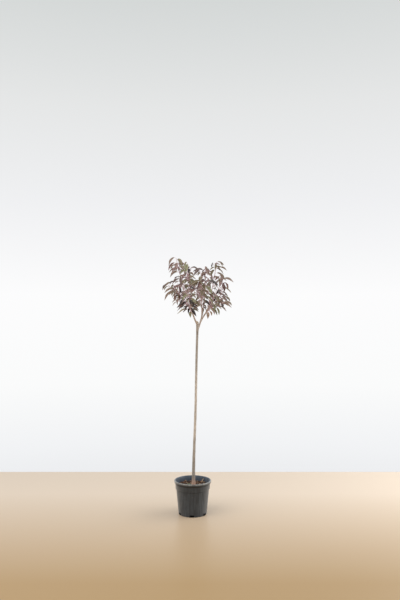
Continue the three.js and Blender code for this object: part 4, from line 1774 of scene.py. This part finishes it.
def make_pot():
    """Turns the shell, cuts its notches and gives each face its finish."""
    heap = Heap()
    heap.add(*turned(pot_profile(), POT_SEGMENTS, flutes))
    shell = bpy.data.objects.new("pot_blank", make_mesh("pot_blank", heap, POT_CREASE))
    cutter = bpy.data.objects.new("notches", make_mesh("notches", notch_cutters(), POT_CREASE))
    for thing in (shell, cutter):
        bpy.context.scene.collection.objects.link(thing)
    cut = shell.modifiers.new("notches", "BOOLEAN")
    cut.object = cutter
    cut.solver = "EXACT"
    mesh = applied(shell)
    mesh.set_sharp_from_angle(angle=math.radians(POT_CREASE))
    mesh.name = "pot_shell"
    for thing in (shell, cutter):
        bpy.data.objects.remove(thing)
    for face in mesh.polygons:
        face.material_index = plastic_for(face.center / MM, face.normal)
    add_piece("pot_shell", mesh, pot_materials, ["pot"])


make_pot()

# %% [markdown]
# ## Compost
#
# The pot is filled with bark compost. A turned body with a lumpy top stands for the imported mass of
# it, hollowed at its lower edge so that the drain notches look into the dark. Loose chips and moss
# lie on top as pieces of their own, because a height map alone could not show their edges.

# %% Compost finishes
COMPOST_DARK = (0.022, 0.013, 0.011)
COMPOST_BROWN = (0.075, 0.04, 0.028)
# Name, share of the chips, colour, its patches
CHIP_TINTS = (
    ("dark", 0.42, (0.06, 0.03, 0.024), (0.025, 0.013, 0.012)),
    ("russet", 0.38, (0.24, 0.115, 0.06), (0.11, 0.05, 0.032)),
    ("pale", 0.2, (0.52, 0.38, 0.25), (0.34, 0.22, 0.14)),
)
MOSS_GREEN = (0.13, 0.17, 0.085)
MOSS_GREY = (0.3, 0.33, 0.23)
ROUGH = 0.9
ROUGH_DEPTH = 0.0012
# Scales of the patches and of the grain
COMPOST_SCALES = (90, 400)
CHIP_SCALES = (220, 900)
MOSS_SCALES = (120, 600)


def rough_material(name, first, second, scale, grain):
    """A dull crumbly finish."""
    return mottled(name, first, second, ROUGH, (scale,), (grain, ROUGH_DEPTH))


# %% Compost
SOIL_EDGE_RISE = 1
SOIL_FLAT_RADIUS = 60
SOIL_SEGMENTS = 120
SOIL_RING_GAP = 3.5
SOIL_LUMP_SIZE = 16
SOIL_LUMP_HEIGHT = 4
SOIL_LUMP_SINK = 0.4
SOIL_CRUMB_SIZE = 5
SOIL_CRUMB_SHARE = 0.5
SOIL_CRUMB_SHIFT = 9


def soil_height(x, y):
    """The height of the compost at a place, with its lumps."""
    out = math.hypot(x, y)
    rise = max(out - SOIL_FLAT_RADIUS, 0) / (POT_BAND_RADIUS - SOIL_FLAT_RADIUS) * SOIL_EDGE_RISE
    lumps = noise.noise(Vector((x, y, 0)) / SOIL_LUMP_SIZE)
    lumps += SOIL_CRUMB_SHARE * noise.noise(Vector((y, x, SOIL_CRUMB_SHIFT)) / SOIL_CRUMB_SIZE)
    return SOIL_HEIGHT + rise + SOIL_LUMP_HEIGHT * (lumps - SOIL_LUMP_SINK)


def make_compost():
    """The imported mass, hollowed at its lower edge, with a lumpy top."""
    gap = POT_WALL + SEAT_GAP
    inset = gap + SEAT_GAP
    hollow = POT_BASE_RADIUS - NOTCH_REACH
    clear = NOTCH_HEIGHT + NOTCH_SHADE
    edge = POT_BAND_RADIUS - inset
    body = [
        (hollow, gap),
        (hollow + 2, gap + 1),
        (hollow + 6, clear),
        (blend(POT_BASE_RADIUS, POT_SHOULDER_RADIUS, clear / POT_SHOULDER_HEIGHT) - inset, clear + 1),
        (POT_SHOULDER_RADIUS - inset, POT_SHOULDER_HEIGHT),
        (edge, POT_SHOULDER_HEIGHT + 6),
    ]
    rings = [edge - SOIL_RING_GAP * i for i in range(int(edge / SOIL_RING_GAP))]
    profile = body + [(radius, SOIL_HEIGHT) for radius in rings]
    corners, faces = turned(profile, SOIL_SEGMENTS, lambda index, height, turn: np.zeros(len(turn)))
    for corner in corners:
        if corner[2] == SOIL_HEIGHT:
            corner[2] = soil_height(corner[0], corner[1])
    heap = Heap()
    heap.add(corners, faces)
    finish = rough_material("compost", COMPOST_DARK, COMPOST_BROWN, *COMPOST_SCALES)
    add_piece("compost", heap, [finish], ["soil"])


make_compost()

# %% [markdown]
# ### Bark chips
#
# Shredded bark lies as slabs of every size, tilted on each other. Each chip is a slab with uneven
# corners and a narrower top, laid at a seeded place on the compost. Three pieces in three browns
# give the mix of fresh and old bark.

# %% Bark chips
CHIP_COUNT = 950
CHIP_SEED = 11
CHIP_REACH = 121
CHIP_CORNERS = 6
CHIP_LENGTH_RANGE = (7, 24)
CHIP_WIDTH_RANGE = (0.3, 0.65)
CHIP_THICKNESS_RANGE = (1, 3)
CHIP_MAX_TILT = 38
CHIP_MAX_RISE = 5
CHIP_NEAREST = 0.015
CHIP_CORNER_REACH = (0.7, 1.1)
CHIP_TOP_SHARE = 0.85
CHIP_UNEVENNESS = (0.8, 1.2)
CHIP_OVERLAP = 4
CHIP_CREASE = 25
# A long splinter that stands up at the right of the stem
SPLINTER = ((66, 66, 208), (74, 69, 226), (82, 72, 243))
SPLINTER_RADII = (5, 4.6, 2.5)
SPLINTER_SIDES = 5


def chip(numbers, place, length, yaw, tilt):
    """A slab with uneven corners, turned and tilted about its middle."""
    width = length * numbers.between(*CHIP_WIDTH_RANGE)
    thickness = numbers.between(*CHIP_THICKNESS_RANGE)
    corners = []
    for layer in (-0.5, 0.5):
        for i in range(CHIP_CORNERS):
            angle = 2 * math.pi * i / CHIP_CORNERS
            reach = numbers.between(*CHIP_CORNER_REACH) * (1 if layer < 0 else CHIP_TOP_SHARE)
            x, y = math.cos(angle) * length / 2 * reach, math.sin(angle) * width / 2 * reach
            corners.append((x, y, thickness * layer * numbers.between(*CHIP_UNEVENNESS)))
    rock = turn_about(0, numbers.between(-CHIP_MAX_TILT, CHIP_MAX_TILT))
    lean, spin = turn_about(1, tilt), turn_about(2, yaw)
    return np.array(corners) @ rock @ lean @ spin + place, tube_faces(2, CHIP_CORNERS)


def make_chips():
    """Lays the chips on the compost, in three tints."""
    numbers = SeededNumbers(CHIP_SEED)
    heaps = {tint: Heap() for tint, *_ in CHIP_TINTS}
    for _ in range(CHIP_COUNT):
        out = CHIP_REACH * math.sqrt(numbers.between(CHIP_NEAREST, 1))
        bearing = numbers.between(0, 2 * math.pi)
        x, y = out * math.cos(bearing), out * math.sin(bearing)
        room_left = 2 * (POT_BAND_RADIUS - POT_WALL - 1 - out) + CHIP_OVERLAP
        length = min(numbers.between(*CHIP_LENGTH_RANGE), room_left)
        place = (x, y, soil_height(x, y) + numbers.between(0, CHIP_MAX_RISE))
        tint = deal(CHIP_TINTS, numbers.between(0, 1))
        tilt = numbers.between(-CHIP_MAX_TILT, CHIP_MAX_TILT)
        heaps[tint].add(*chip(numbers, place, length, numbers.between(0, 360), tilt))
    heaps["pale"].add(*tube(np.array(SPLINTER), SPLINTER_RADII, SPLINTER_SIDES))
    for tint, _, first, second in CHIP_TINTS:
        finish = rough_material(f"{tint} bark chips", first, second, *CHIP_SCALES)
        add_piece(f"bark_chips_{tint}", heaps[tint], [finish], ["soil"], CHIP_CREASE)


make_chips()

# %% [markdown]
# ### Moss
#
# Moss has grown on the damp side of the stem. It is a low mound of short pointed shoots that thins
# out towards a lobed edge. Shoots as meshes give its soft outline, which a bump would miss.

# %% Moss
MOSS_PLACE = (-28, 0)
MOSS_REACH = (24, 22)
MOSS_TUFTS = 900
MOSS_SEED = 3
MOSS_HEIGHT_RANGE = (2, 5.5)
MOSS_MOUND = 7
MOSS_LOBE = 0.25
MOSS_CROWDING = 0.7
MOSS_LEAN = 0.5
MOSS_FOOT_RISE = 1.5
MOSS_RADII = (1.1, 1.1, 0.2)
MOSS_SIDES = 4


def make_moss():
    """A patch of short pointed shoots that thins out towards its edge."""
    numbers = SeededNumbers(MOSS_SEED)
    heap = Heap()
    for _ in range(MOSS_TUFTS):
        out = numbers.between(0, 1) ** MOSS_CROWDING
        bearing = numbers.between(0, 2 * math.pi)
        lobed = out * (1 + MOSS_LOBE * math.sin(3 * bearing + 1) + MOSS_LOBE / 2 * math.sin(5 * bearing))
        x = MOSS_PLACE[0] + MOSS_REACH[0] * lobed * math.cos(bearing)
        y = MOSS_PLACE[1] + MOSS_REACH[1] * lobed * math.sin(bearing)
        foot = np.array([x, y, soil_height(x, y) - 1])
        aside = [numbers.between(-MOSS_LEAN, MOSS_LEAN) for _ in range(2)]
        lean = unit(np.array([*aside, 1]))
        height = numbers.between(*MOSS_HEIGHT_RANGE) * (1.2 - 0.6 * out)
        crown = foot + UP * (MOSS_FOOT_RISE + MOSS_MOUND * (1 - out * out))
        points = np.array([foot, crown + lean * height * 0.4, crown + lean * height])
        heap.add(*tube(points, MOSS_RADII, MOSS_SIDES))
    finish = rough_material("moss", MOSS_GREEN, MOSS_GREY, *MOSS_SCALES)
    add_piece("moss", heap, [finish], ["soil"])


make_moss()
